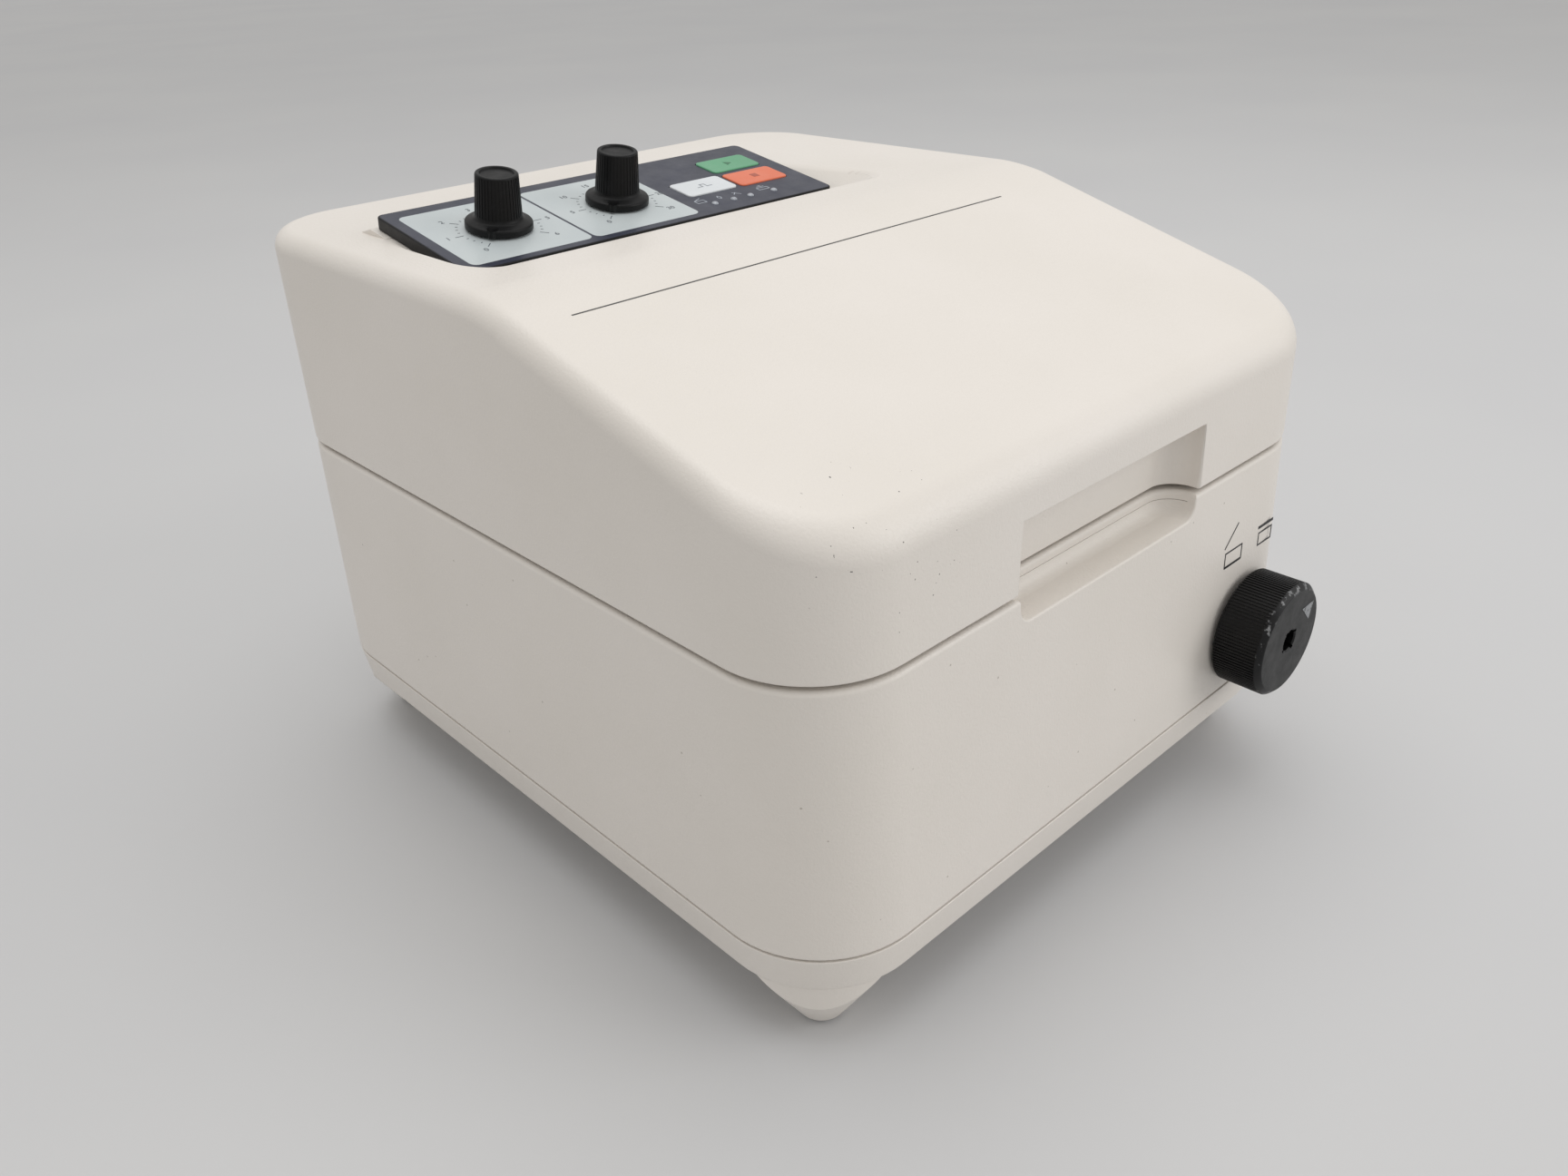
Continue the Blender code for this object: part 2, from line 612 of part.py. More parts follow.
def hinges(base, lid):
    """Two hinges behind the body, with the pins' axis level with the parting line."""
    inner = [(-5 * MM, 5 * MM)]
    outer = [(-16 * MM, -5.5 * MM), (5.5 * MM, 16 * MM)]
    leaves = (
        ("hinge_base", base, -26 * MM, -6.5 * MM, inner, (-8 * MM, -2 * MM)),
        ("hinge_lid", lid, 6 * MM, 26 * MM, outer, (1.5 * MM, 7 * MM)),
    )
    for side, label in ((-1, "left"), (1, "right")):
        x = side * HINGE_X
        hole = rod((HINGE_Y, PARTING_Z), 2.4 * MM, "X", x - 20 * MM, x + 20 * MM, 12)
        for name, parent, low, high, spans, web in leaves:
            solids = hinge_leaf(side, PARTING_Z + low, PARTING_Z + high, spans, web)
            make(name + "_" + label, "steel", solids[0], solids[1:], [hole], parent)
        pin = rod((HINGE_Y, PARTING_Z), 2 * MM, "X", x - 16.5 * MM, x + 16.5 * MM, 12)
        make("hinge_pin_" + label, "steel", pin, parent=base)


# Lock

def lock_knob(parent):
    """Round grip with a bevelled rim and a socket in the middle of its face."""
    depth = LOCK_BACK_Y - LOCK_FACE_Y
    profile = [
        (0, depth - 7 * MM), (3.6 * MM, depth - 7 * MM), (3.6 * MM, depth),
        (LOCK_RADIUS - 2 * MM, depth), (LOCK_RADIUS, depth - 1.6 * MM),
        (LOCK_RADIUS, 0.6 * MM), (LOCK_RADIUS - 0.6 * MM, 0),
        (4.3 * MM, 0), (4.3 * MM, depth - 10 * MM), (0, depth - 10 * MM),
    ]
    place = Matrix.Translation((LOCK_X, LOCK_BACK_Y, LOCK_Z)) @ Matrix.Rotation(math.radians(90), 4, "X")
    make("lock_knob", "black", turned(profile, 40), parent=parent, place=place)


def lock_shaft(parent):
    """Shaft with a crank disc, whose pin drives the slide."""
    bar = rod((LOCK_X, LOCK_Z), 4 * MM, "Y", -153 * MM, -122 * MM)
    disc = rod((LOCK_X, LOCK_Z), 13 * MM, "Y", -124.3 * MM, -121.3 * MM, 24)
    pin_x = LOCK_X + CRANK * math.sin(LOCK_ANGLE)
    pin_z = LOCK_Z + CRANK * math.cos(LOCK_ANGLE)
    pin = rod((pin_x, pin_z), 2.4 * MM, "Y", -122 * MM, -115.8 * MM, 12)
    make("lock_shaft", "steel", bar, [disc, pin], (), parent)


def latch_slide(parent):
    """Plate with a slot for the crank pin below and a hook for the striker above the deck."""
    x = LOCK_X + CRANK * math.sin(LOCK_ANGLE)
    hook = PARTING_Z + 3.6 * MM
    outline = [
        (x - 7 * MM, 54 * MM), (x + 7 * MM, 54 * MM), (x + 7 * MM, 108 * MM), (x + 0.5 * MM, 114 * MM),
        (x + 0.5 * MM, hook), (x + 8 * MM, hook), (x + 8 * MM, hook + 2.4 * MM),
        (x + 6.6 * MM, hook + 3.6 * MM), (x - 5.5 * MM, hook + 3.6 * MM), (x - 5.5 * MM, 114 * MM),
        (x - 7 * MM, 108 * MM),
    ]
    slot = block((x - 3.2 * MM, -130 * MM, 62 * MM), (x + 3.2 * MM, -110 * MM, 73.5 * MM))
    make("latch_slide", "steel", prism(outline, "Y", *LATCH_Y), (), [slot], parent)


def lock_fixings(base, lid):
    """Bushing and guide bracket in the base, and the striker that hangs through the lid's liner."""
    bush = [
        (4.4 * MM, 10 * MM), (4.4 * MM, 0), (10 * MM, 0), (10 * MM, 3 * MM), (6 * MM, 3 * MM),
        (6 * MM, 10 * MM),
    ]
    place = Matrix.Translation((LOCK_X, -134 * MM, LOCK_Z)) @ Matrix.Rotation(math.radians(90), 4, "X")
    make("lock_bushing", "brass", turned(bush, 24, True), parent=base, place=place)
    plate = block((62 * MM, -117.7 * MM, 76 * MM), (99.5 * MM, -115.7 * MM, 112 * MM))
    tab = block((62 * MM, -137.5 * MM, 76 * MM), (64.5 * MM, -116 * MM, 112 * MM))
    make("latch_bracket", "steel", plate, [tab], (), base)
    low, foot = PARTING_Z + 0.6 * MM, PARTING_Z + 7.8 * MM
    thick = 2.4 * MM
    strap = [
        (-133 * MM, foot), (-127.5 * MM, foot), (-127.5 * MM, low), (-111.5 * MM, low),
        (-111.5 * MM, foot), (-106 * MM, foot), (-106 * MM, foot + 2 * MM),
        (-111.5 * MM - thick, foot + 2 * MM),
        (-111.5 * MM - thick, low + thick), (-127.5 * MM + thick, low + thick),
        (-127.5 * MM + thick, foot + 2 * MM), (-133 * MM, foot + 2 * MM),
    ]
    make("lid_striker", "steel", prism(strap, "X", 93.2 * MM, 98.6 * MM), parent=lid)
    sensor = block((-100 * MM, -124 * MM, 108 * MM), (-80 * MM, -114 * MM, 118.4 * MM))
    make("lid_sensor", "black", sensor, parent=base)
    low = (-96 * MM, -122 * MM, PARTING_Z + 1.2 * MM)
    magnet = block(low, (-84 * MM, -114 * MM, PARTING_Z + 4.2 * MM))
    make("lid_magnet", "steel", magnet, parent=lid)


# Lid

def boss_places():
    """Screw posts of the liner, along both side walls."""
    return [(x * 116.5 * MM, y * MM) for x in (-1, 1) for y in (-75, 104)]


def lid_shell(parent):
    """Moulded cover with the panel's trough in its top and the finger recess in its front."""
    inner = lid_rings(LID_WALL, LID_WALL, 3)
    outer = lid_rings(0, 0, 6)
    ridge = (CORNER_STEPS + 1, 3 * (CORNER_STEPS + 1) + 1)
    shell = lofted(inner[::-1] + outer, ridge)
    floor_y, floor_z = 27 * MM, PARTING_Z + 67.4 * MM
    rise = math.tan(PANEL_TILT)
    top = PARTING_Z + LID_TOP

    def floor_at(y):
        return floor_z + rise * (y - floor_y)

    tray_y = (8 * MM, 78 * MM)
    tray = [(tray_y[0], top - 2 * MM), (tray_y[0], floor_at(tray_y[0]) - 3.2 * MM),
            (tray_y[1], floor_at(tray_y[1]) - 3.2 * MM), (tray_y[1], top - 2 * MM)]
    pedestal = [
        (70 * MM, top - 2 * MM), (92 * MM, top - 2 * MM), (84.5 * MM, floor_at(84.5 * MM)),
        (70 * MM, floor_at(70 * MM)),
    ]
    trough = [
        (10.2 * MM, floor_z + 10.3 * MM), (floor_y, floor_z), (90 * MM, floor_at(90 * MM)),
        (90 * MM, top + 20 * MM), (10.2 * MM, top + 20 * MM),
    ]
    low = PARTING_Z + PARTING_HALF_GAP
    joins = [
        prism(tray, "X", -108 * MM, 74 * MM),
        block((-50 * MM, -140 * MM, low), (50 * MM, RECESS_Y + 4 * MM, PARTING_Z + RECESS_TOP + 4 * MM)),
    ]
    for x, y in boss_places():
        joins.append(rod((x, y), 5 * MM, "Z", PARTING_Z + 7.8 * MM, PARTING_Z + 26 * MM, 12))
    cuts = [
        prism(trough, "X", -104.5 * MM, 70 * MM),
        block((-RECESS_HALF, -150 * MM, low - 5 * MM), (RECESS_HALF, RECESS_Y, PARTING_Z + RECESS_TOP)),
    ]
    for x, y in boss_places():
        cuts.append(rod((x, y), 1.8 * MM, "Z", PARTING_Z, PARTING_Z + 20 * MM, 8))
    for u in KNOB_U:
        cuts.append(moved(rod((0, 0), 4.2 * MM, "Z", -14 * MM, 5 * MM), panel_place(u, KNOB_V)))
    item = make("lid_shell", "housing", shell, joins, cuts, parent)
    combine(item, prism(pedestal, "X", -103.5 * MM, 60 * MM), "UNION")


def lid_inner(parent):
    """Liner plate under the shell, its screws, and the seal that presses on the bowl's flange."""
    low, high = PARTING_Z + 4.5 * MM, PARTING_Z + 7.5 * MM
    edge = LID_WALL + LID_TAPER + 0.4 * MM
    cuts = [
        block((-51 * MM, -150 * MM, low - MM), (51 * MM, RECESS_Y + 4.6 * MM, high + MM)),
        block((69.5 * MM, -129 * MM, low - MM), (101.5 * MM, -110 * MM, high + MM)),
    ]
    screw = [
        (0, 2.8 * MM), (3 * MM, 2.8 * MM), (3 * MM, 4.2 * MM), (1.5 * MM, 4.2 * MM),
        (1.5 * MM, 18 * MM), (0, 18 * MM),
    ]
    for number, (x, y) in enumerate(boss_places(), 1):
        cuts.append(rod((x, y), 1.8 * MM, "Z", low - MM, high + MM, 8))
        place = Matrix.Translation((x, y, PARTING_Z))
        make(f"liner_screw_{number}", "steel", turned(screw, 12), parent=parent, place=place)
    plate = lofted([level(plan(edge), low), level(plan(edge), high)])
    make("lid_liner", "housing", plate, (), cuts, parent)
    seal = [
        (99 * MM, 4.2 * MM), (99.6 * MM, 2 * MM), (101.5 * MM, 1.3 * MM), (103.5 * MM, 1.3 * MM),
        (105 * MM, 2.4 * MM), (105 * MM, 4.2 * MM),
    ]
    place = Matrix.Translation((0, 0, PARTING_Z))
    make("lid_seal", "rubber", turned(seal, 48, True), parent=parent, place=place)


# Control panel

KEYS = (
    ("start_key", "green", 26.5 * MM, 50.0 * MM, 32.4 * MM, 45.0 * MM),
    ("stop_key", "orange", 26.5 * MM, 50.0 * MM, 16.8 * MM, 29.4 * MM),
    ("pulse_key", "white", 1.5 * MM, 24.8 * MM, 17.2 * MM, 30.2 * MM),
)
LAMPS_U = (5.6 * MM, 14.6 * MM, 22.8 * MM, 34.5 * MM)
LAMP_V = 8.2 * MM
DIALS = ("speed", "time")


def control_panel(parent):
    """Slab with pockets for the keys, lamps and shafts, the board under it, and the controls."""
    radius = 2.5 * MM
    slab = []
    corners = (
        (PANEL_RIGHT - radius, radius, -90), (PANEL_RIGHT - radius, PANEL_DEPTH - radius, 0),
        (PANEL_LEFT + radius, PANEL_DEPTH - radius, 90), (PANEL_LEFT + radius, radius, 180),
    )
    for u, v, start in corners:
        for step in range(4):
            angle = math.radians(start + 30 * step)
            slab.append((u + radius * math.cos(angle), v + radius * math.sin(angle)))
    cuts = []
    for _, _, u0, u1, v0, v1 in KEYS:
        cuts.append(block((u0 - GAP, v0 - GAP, -3.3 * MM), (u1 + GAP, v1 + GAP, 2 * MM)))
    low = (LAMPS_U[0] - 3 * MM, LAMP_V - 1.6 * MM, -5 * MM)
    cuts.append(block(low, (LAMPS_U[-1] + 3 * MM, LAMP_V + 1.6 * MM, -2 * MM)))
    for u in LAMPS_U:
        cuts.append(rod((u, LAMP_V), 1.6 * MM, "Z", -4 * MM, 2 * MM, 12))
    for u in KNOB_U:
        cuts.append(rod((u, KNOB_V), 4.2 * MM, "Z", -6 * MM, 2 * MM))
    make("panel_frame", "panel", prism(slab, "Z", -PANEL_THICK, 0), (), cuts, parent, panel_place())
    low = (LAMPS_U[0] - 2.6 * MM, LAMP_V - 1.2 * MM, -3.9 * MM)
    high = (LAMPS_U[-1] + 2.6 * MM, LAMP_V + 1.2 * MM, -2.4 * MM)
    lamps = [rod((u, LAMP_V), 1.3 * MM, "Z", -3 * MM, 0.4 * MM, 12) for u in LAMPS_U]
    make("indicator_lamps", "lamp", block(low, high), lamps, (), parent, panel_place())
    board = block((-96 * MM, 4 * MM, -18.2 * MM), (52 * MM, 50 * MM, -16.6 * MM))
    make("panel_board", "board", board, parent=parent, place=panel_place())
    pot = [
        (0, -16.3 * MM), (8.5 * MM, -16.3 * MM), (8.5 * MM, -8 * MM), (3.8 * MM, -8 * MM),
        (3.8 * MM, -0.4 * MM), (2.8 * MM, -0.4 * MM), (2.8 * MM, -14 * MM), (0, -14 * MM),
    ]
    for label, u in zip(DIALS, KNOB_U):
        place = panel_place(u, KNOB_V)
        make(label + "_potentiometer", "steel", turned(pot, 20), parent=parent, place=place)


def dial_knob(label, u, parent):
    """Control knob with a pointed skirt, on the potentiometer's shaft."""
    profile = [
        (0, 18 * MM), (5.5 * MM, 18 * MM), (5.7 * MM, 18.5 * MM), (6.6 * MM, 18.5 * MM),
        (7 * MM, 18 * MM), (7.8 * MM, 4.8 * MM), (8.8 * MM, 3.4 * MM),
        (10.8 * MM, 2.2 * MM), (11.1 * MM, 0.6 * MM),
        (2.8 * MM, 0.6 * MM), (2.8 * MM, 12 * MM), (0, 12 * MM),
    ]
    pointer = prism([(7.5 * MM, 2 * MM), (7.5 * MM, -2 * MM), (12 * MM, 0)], "Z", 0.9 * MM, 3 * MM)
    turn = Matrix.Rotation(math.radians(-135), 4, "Z")
    place = panel_place(u, KNOB_V)
    make(label + "_knob", "black", turned(profile, 24), [moved(pointer, turn)], (), parent, place)
    shaft = [(0, 11.7 * MM), (2.5 * MM, 11.7 * MM), (2.5 * MM, -13.7 * MM), (0, -13.7 * MM)]
    make(label + "_shaft", "steel", turned(shaft, 12), parent=parent, place=place)


def panel_key(name, finish, u0, u1, v0, v1, parent):
    """Key cap with a bevelled top, in its pocket in the slab."""
    half_u, half_v = (u1 - u0) / 2, (v1 - v0) / 2
    rings = []
    for inset, height in ((0, -2.6 * MM), (0, 0.3 * MM), (0.5 * MM, 0.8 * MM)):
        u, v = half_u - inset, half_v - inset
        rings.append([(-u, -v, height), (u, -v, height), (u, v, height), (-u, v, height)])
    make(name, finish, lofted(rings), parent=parent, place=panel_place((u0 + u1) / 2, (v0 + v1) / 2))


def main():
    for item in list(bpy.data.objects):
        bpy.data.objects.remove(item, do_unlink=True)
    body = axis_empty("body_centre", (0, 0, 0))
    lid = axis_empty("lid_axis", (0, HINGE_Y, PARTING_Z), body)
    lock = axis_empty("lock_axis", (LOCK_X, LOCK_BACK_Y, LOCK_Z), body)
    slide = axis_empty("latch_axis", (LOCK_X, LATCH_Y[0], LOCK_Z), body)
    switch = axis_empty("rocker_axis", (SWITCH_X, HALF_DEPTH - 3.5 * MM, REAR_Z), body)
    spindle = axis_empty("rotor_axis", (0, 0, BOWL_FLOOR), body)
    base_housing(body)
    base_pan(body)
    foot_pads(body)
    chamber(body)
    motor(body)
    power_parts(body)
    rear_parts(body)
    hinges(body, lid)
    lock_fixings(body, lid)
    rotor(spindle)
    power_rocker(switch)
    lock_knob(lock)
    lock_shaft(lock)
    latch_slide(slide)
    lid_shell(lid)
    lid_inner(lid)
    control_panel(lid)
    for label, u in zip(DIALS, KNOB_U):
        axis = axis_empty(label + "_axis", panel_place(u, KNOB_V).translation, lid)
        dial_knob(label, u, axis)
    for name, finish, u0, u1, v0, v1 in KEYS:
        place = panel_place((u0 + u1) / 2, (v0 + v1) / 2).translation
        axis = axis_empty(name + "_axis", place, lid)
        panel_key(name, finish, u0, u1, v0, v1, axis)
    body.location = (0, BODY_CENTRE_Y, 0)


main()
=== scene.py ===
"""Looks of a small benchtop centrifuge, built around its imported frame. Metres, +Z up, front on -Y."""
import math

import bmesh
import bpy
from mathutils import Matrix, Vector


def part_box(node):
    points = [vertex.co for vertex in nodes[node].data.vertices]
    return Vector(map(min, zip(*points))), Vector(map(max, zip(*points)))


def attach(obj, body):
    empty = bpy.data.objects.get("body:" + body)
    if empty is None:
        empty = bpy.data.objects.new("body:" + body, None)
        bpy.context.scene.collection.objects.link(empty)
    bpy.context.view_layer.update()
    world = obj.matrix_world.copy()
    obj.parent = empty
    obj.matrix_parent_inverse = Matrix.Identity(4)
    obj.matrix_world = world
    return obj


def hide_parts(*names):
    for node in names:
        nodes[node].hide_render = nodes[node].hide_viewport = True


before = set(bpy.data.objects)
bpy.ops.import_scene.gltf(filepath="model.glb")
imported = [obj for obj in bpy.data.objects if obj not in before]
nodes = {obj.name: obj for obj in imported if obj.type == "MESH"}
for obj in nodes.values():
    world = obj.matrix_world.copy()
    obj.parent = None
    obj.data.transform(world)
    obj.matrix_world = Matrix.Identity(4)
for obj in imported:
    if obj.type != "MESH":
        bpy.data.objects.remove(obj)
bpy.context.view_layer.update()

MM = 0.001

# Base housing. The real one is a thick injection moulding in off-white ABS with a fine
# spark-eroded grain: four drafted walls and a deck, open below, with a scoop for the
# fingers in front and cut-outs for the mains fittings behind.

SEAM_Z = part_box("base_pan")[1].z
HOUSING_FOOT_Z = SEAM_Z + 0.5 * MM
WALL = 4 * MM
FLARE = 3 * MM
CORNER_RADIUS = 32 * MM
CORNER_STEPS = 16
RIM_ROUND = 1.6 * MM
HALF_WIDTH, HALF_DEPTH = 125 * MM, 142 * MM
CENTRE_Y = (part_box("lid_shell")[0].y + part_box("lid_shell")[1].y) / 2
FRONT_Y, BACK_Y = CENTRE_Y - HALF_DEPTH, CENTRE_Y + HALF_DEPTH
DECK_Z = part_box("base_housing")[1].z
RECESS_HALF = 46 * MM
RECESS_Y = CENTRE_Y - 130.5 * MM
RECESS_CORNER = 9 * MM
SCOOP_DROP = 8.2 * MM


def only(*items):
    """Object mode, with nothing selected but these pieces, the last of them active."""
    if bpy.context.object and bpy.context.object.mode != "OBJECT":
        bpy.ops.object.mode_set(mode="OBJECT")
    bpy.ops.object.select_all(action="DESELECT")
    for item in items:
        item.select_set(True)
        bpy.context.view_layer.objects.active = item


def settled(item, place=None):
    """Puts the piece's place into its mesh, so that the object itself sits at the origin."""
    only(item)
    if place is not None:
        item.matrix_world = place @ item.matrix_world
    bpy.ops.object.transform_apply(location=True, rotation=True, scale=True)
    return item


def block(name, low, high):
    """Box from its lowest to its highest corner, to be shaped further."""
    low, high = Vector(low), Vector(high)
    only()
    bpy.ops.mesh.primitive_cube_add(size=1, location=(low + high) / 2)
    item = bpy.context.object
    item.name = item.data.name = name
    item.scale = high - low
    return settled(item)


def pick(item, kind, wanted):
    """In edit mode, selects the piece's VERT, EDGE or FACE elements that pass the test."""
    if item.mode != "EDIT":
        only(item)
        bpy.ops.object.mode_set(mode="EDIT")
    bpy.ops.mesh.select_mode(type=kind)
    bpy.ops.mesh.select_all(action="DESELECT")
    shape = bmesh.from_edit_mesh(item.data)
    shape.normal_update()
    for part in {"VERT": shape.verts, "EDGE": shape.edges, "FACE": shape.faces}[kind]:
        if wanted(part):
            part.select_set(True)
    shape.select_flush_mode()
    bmesh.update_edit_mesh(item.data)


def middle(edge):
    return (edge.verts[0].co + edge.verts[1].co) / 2


def run(edge):
    """Direction of an edge, every part of it positive."""
    along = (edge.verts[1].co - edge.verts[0].co).normalized()
    return Vector(map(abs, along))


def rounded(item, wanted, radius, steps):
    """Rounds the edges that pass the test."""
    pick(item, "EDGE", wanted)
    bpy.ops.mesh.bevel(offset=radius, segments=steps, affect="EDGES", clamp_overlap=False)
    only(item)


def modified(item, kind, **settings):
    """Adds one modifier with its settings to the piece, and applies it."""
    only(item)
    modifier = item.modifiers.new(kind.lower(), kind)
    for setting, value in settings.items():
        setattr(modifier, setting, value)
    bpy.ops.object.modifier_apply(modifier=modifier.name)
    return item


def cut(item, tool, operation="DIFFERENCE"):
    """Takes the tool out of the piece, or adds it, and removes the tool."""
    modified(item, "BOOLEAN", operation=operation, solver="EXACT", object=tool)
    bpy.data.objects.remove(tool, do_unlink=True)
    return item


def tidied(item, angle=28, gap=0.004 * MM):
    """Merges doubled points, closes up the shading and gives flat faces the say over it."""
    only(item)
    bpy.ops.object.mode_set(mode="EDIT")
    bpy.ops.mesh.select_all(action="SELECT")
    bpy.ops.mesh.remove_doubles(threshold=gap)
    bpy.ops.mesh.dissolve_degenerate(threshold=gap)
    only(item)
    bpy.ops.object.shade_smooth_by_angle(angle=math.radians(angle))
    modified(item, "WEIGHTED_NORMAL", keep_sharp=True, weight=60)
    return item


def body_outline(name, height, inset, grow):
    """Flat face with the body's rounded outline, flared by grow in front and at the sides."""
    radius = CORNER_RADIUS - inset + grow
    half = HALF_WIDTH - inset + grow
    front, back = FRONT_Y + inset - grow, BACK_Y - inset
    only()
    bpy.ops.mesh.primitive_plane_add(size=1, location=(0, (front + back) / 2, height))
    item = bpy.context.object
    item.name = item.data.name = name
    item.scale = (2 * half, back - front, 1)
    settled(item)
    pick(item, "VERT", lambda point: True)
    bpy.ops.mesh.bevel(offset=radius, segments=CORNER_STEPS, affect="VERTICES")
    only(item)
    return item


housing = body_outline("housing_moulding", HOUSING_FOOT_Z, 0, FLARE)
pick(housing, "FACE", lambda face: True)
bpy.ops.mesh.inset(thickness=FLARE, depth=DECK_Z - HOUSING_FOOT_Z)
# The rear wall has no flare, so the inset deck is stretched back to it.
DEPTH = BACK_Y - FRONT_Y
pick(housing, "VERT", lambda point: point.co.z > DECK_Z - MM)
bpy.ops.transform.resize(value=(1, DEPTH / (DEPTH - FLARE), 1), center_override=(0, FRONT_Y, 0))
modified(housing, "SOLIDIFY", thickness=WALL, offset=-1)
pick(housing, "VERT", lambda point: point.co.z < HOUSING_FOOT_Z + MM)
bpy.ops.transform.resize(value=(1, 1, 0), center_override=(0, 0, HOUSING_FOOT_Z))
backing = block(
    "backing",
    (-52 * MM, FRONT_Y + 1.5 * MM, DECK_Z - 18.7 * MM),
    (52 * MM, FRONT_Y + 19 * MM, DECK_Z - WALL + MM),
)
cut(housing, backing, "UNION")

scoop = block(
    "scoop",
    (-RECESS_HALF, FRONT_Y - 12 * MM, DECK_Z - SCOOP_DROP + 1.6 * MM),
    (RECESS_HALF, RECESS_Y, DECK_Z + 9 * MM),
)
pick(scoop, "VERT", lambda point: point.co.y < FRONT_Y and point.co.z < DECK_Z)
bpy.ops.transform.translate(value=(0, 0, -2.6 * MM))
pick(scoop, "VERT", lambda point: point.co.z < DECK_Z)
bpy.ops.transform.resize(value=(0.965, 1, 1), center_override=(0, RECESS_Y, 0))
rounded(scoop, lambda edge: run(edge).z > 0.9 and middle(edge).y > FRONT_Y, RECESS_CORNER, 10)
rounded(
    scoop,
    lambda edge: middle(edge).z < DECK_Z - 3 * MM
    and (edge.link_faces[0].normal.z < -0.9) != (edge.link_faces[1].normal.z < -0.9)
    and middle(edge).y > FRONT_Y - 11 * MM,
    4.2 * MM,
    6,
)
cut(housing, scoop)


def on_rim(edge, height):
    """True for an outer edge of the face at this height."""
    ups = [abs(face.normal.z) > 0.9 for face in edge.link_faces]
    return all(abs(point.co.z - height) < 0.01 * MM for point in edge.verts) and ups.count(True) == 1


def past_wall(point, inset):
    """True for a point of the body's flared outline, and not of its inner wall."""
    over_x = abs(point.x) - HALF_WIDTH
    over_y = abs(point.y - CENTRE_Y) - HALF_DEPTH
    corner = math.hypot(max(0, over_x + CORNER_RADIUS), max(0, over_y + CORNER_RADIUS)) - CORNER_RADIUS
    return over_x > FLARE - inset or over_y > -inset or corner > FLARE - inset


rounded(housing, lambda edge: on_rim(edge, DECK_Z), RIM_ROUND, 4)
rounded(
    housing, lambda edge: on_rim(edge, HOUSING_FOOT_Z) and past_wall(middle(edge), 1.2 * MM), 1 * MM, 4
)
rounded(
    housing,
    lambda edge: len(edge.link_faces) == 2
    and edge.calc_face_angle() > 0.5
    and middle(edge).y < FRONT_Y + 2 * MM
    and DECK_Z - 12 * MM < middle(edge).z < DECK_Z - RIM_ROUND
    and abs(middle(edge).x) < RECESS_HALF + MM,
    0.7 * MM,
    3,
)


def rod(name, centre, radius, length, axis="Z", steps=48):
    """Round bar about its middle, along an axis."""
    only()
    bpy.ops.mesh.primitive_cylinder_add(vertices=steps, radius=radius, depth=length, location=centre)
    item = bpy.context.object
    item.name = item.data.name = name
    if axis == "X":
        item.rotation_euler = (0, math.pi / 2, 0)
    if axis == "Y":
        item.rotation_euler = (math.pi / 2, 0, 0)
    return settled(item)


lock_low, lock_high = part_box("lock_knob")
LOCK_X, LOCK_Z = (lock_low.x + lock_high.x) / 2, (lock_low.z + lock_high.z) / 2
REAR_Z = 75 * MM
FUSE_X = 8 * MM
cut(housing, rod("bowl_hole", (0, CENTRE_Y, DECK_Z), 100 * MM, 20 * MM, steps=96))
cut(housing, rod("lock_hole", (LOCK_X, FRONT_Y, LOCK_Z), 6.3 * MM, 30 * MM, "Y"))
# The latch's slot in the deck, then the rear wall's cut-outs for inlet, switch, grille and fuse.
cut(housing, block("latch_slot", (70 * MM, CENTRE_Y - 122 * MM, DECK_Z - 7.7 * MM),
                   (92.4 * MM, CENTRE_Y - 117 * MM, DECK_Z + 7.3 * MM)))
for low_x, high_x, low_z, high_z in ((52, 80, 64.5, 85.5), (27, 41, 65, 85), (-80, -22, 58, 96)):
    cut(housing, block("cut_out", (low_x * MM, BACK_Y - 12 * MM, low_z * MM),
                       (high_x * MM, BACK_Y + 8 * MM, high_z * MM)))
cut(housing, rod("fuse_hole", (FUSE_X, BACK_Y, REAR_Z), 6.3 * MM, 20 * MM, "Y"))
tidied(housing)


def linear(shade):
    """sRGB hex value as a linear colour."""
    parts = [int(shade[i:i + 2], 16) / 255 for i in (1, 3, 5)]
    return [p / 12.92 if p <= 0.04045 else ((p + 0.055) / 1.055) ** 2.4 for p in parts] + [1]


def add(material, kind, inputs, output=0, **settings):
    """Adds one node and returns an output. An input is a value, or a socket to link it to."""
    node = material.node_tree.nodes.new(kind)
    for setting, value in settings.items():
        setattr(node, setting, value)
    for socket, value in inputs.items():
        if isinstance(value, bpy.types.NodeSocket):
            material.node_tree.links.new(value, node.inputs[socket])
        else:
            node.inputs[socket].default_value = value
    return node.outputs[output]


def finish(name, inputs):
    """Empty material with one surface shader. Returns it, its shader and Object coordinates."""
    material = bpy.data.materials.new(name)
    material.use_nodes = True
    shader = material.node_tree.nodes["Principled BSDF"]
    for socket, value in inputs.items():
        shader.inputs[socket].default_value = value
    place = add(material, "ShaderNodeTexCoord", {}, "Object")
    return material, shader, place


def feed(material, shader, **links):
    """Links sockets to the shader's inputs, which are named with underscores."""
    for socket, source in links.items():
        material.node_tree.links.new(source, shader.inputs[socket.replace("_", " ")])


def mottled(material, place, size, detail, low, high, shade, other, most=1.0, roughness=0.5):
    """Cloudy noise with blotches of this size, and a colour that it turns from one shade to
    another between its low and high levels. Each shade is a hex value or a node's output."""
    cloud = add(
        material, "ShaderNodeTexNoise",
        {"Vector": place, "Scale": 1 / size, "Detail": detail, "Roughness": roughness},
    )
    share = add(material, "ShaderNodeMapRange", {"Value": cloud, 1: low, 2: high, 4: most})
    shades = {6: shade if isinstance(shade, bpy.types.NodeSocket) else linear(shade), 7: linear(other)}
    return cloud, add(material, "ShaderNodeMix", {0: share, **shades}, 2, data_type="RGBA")


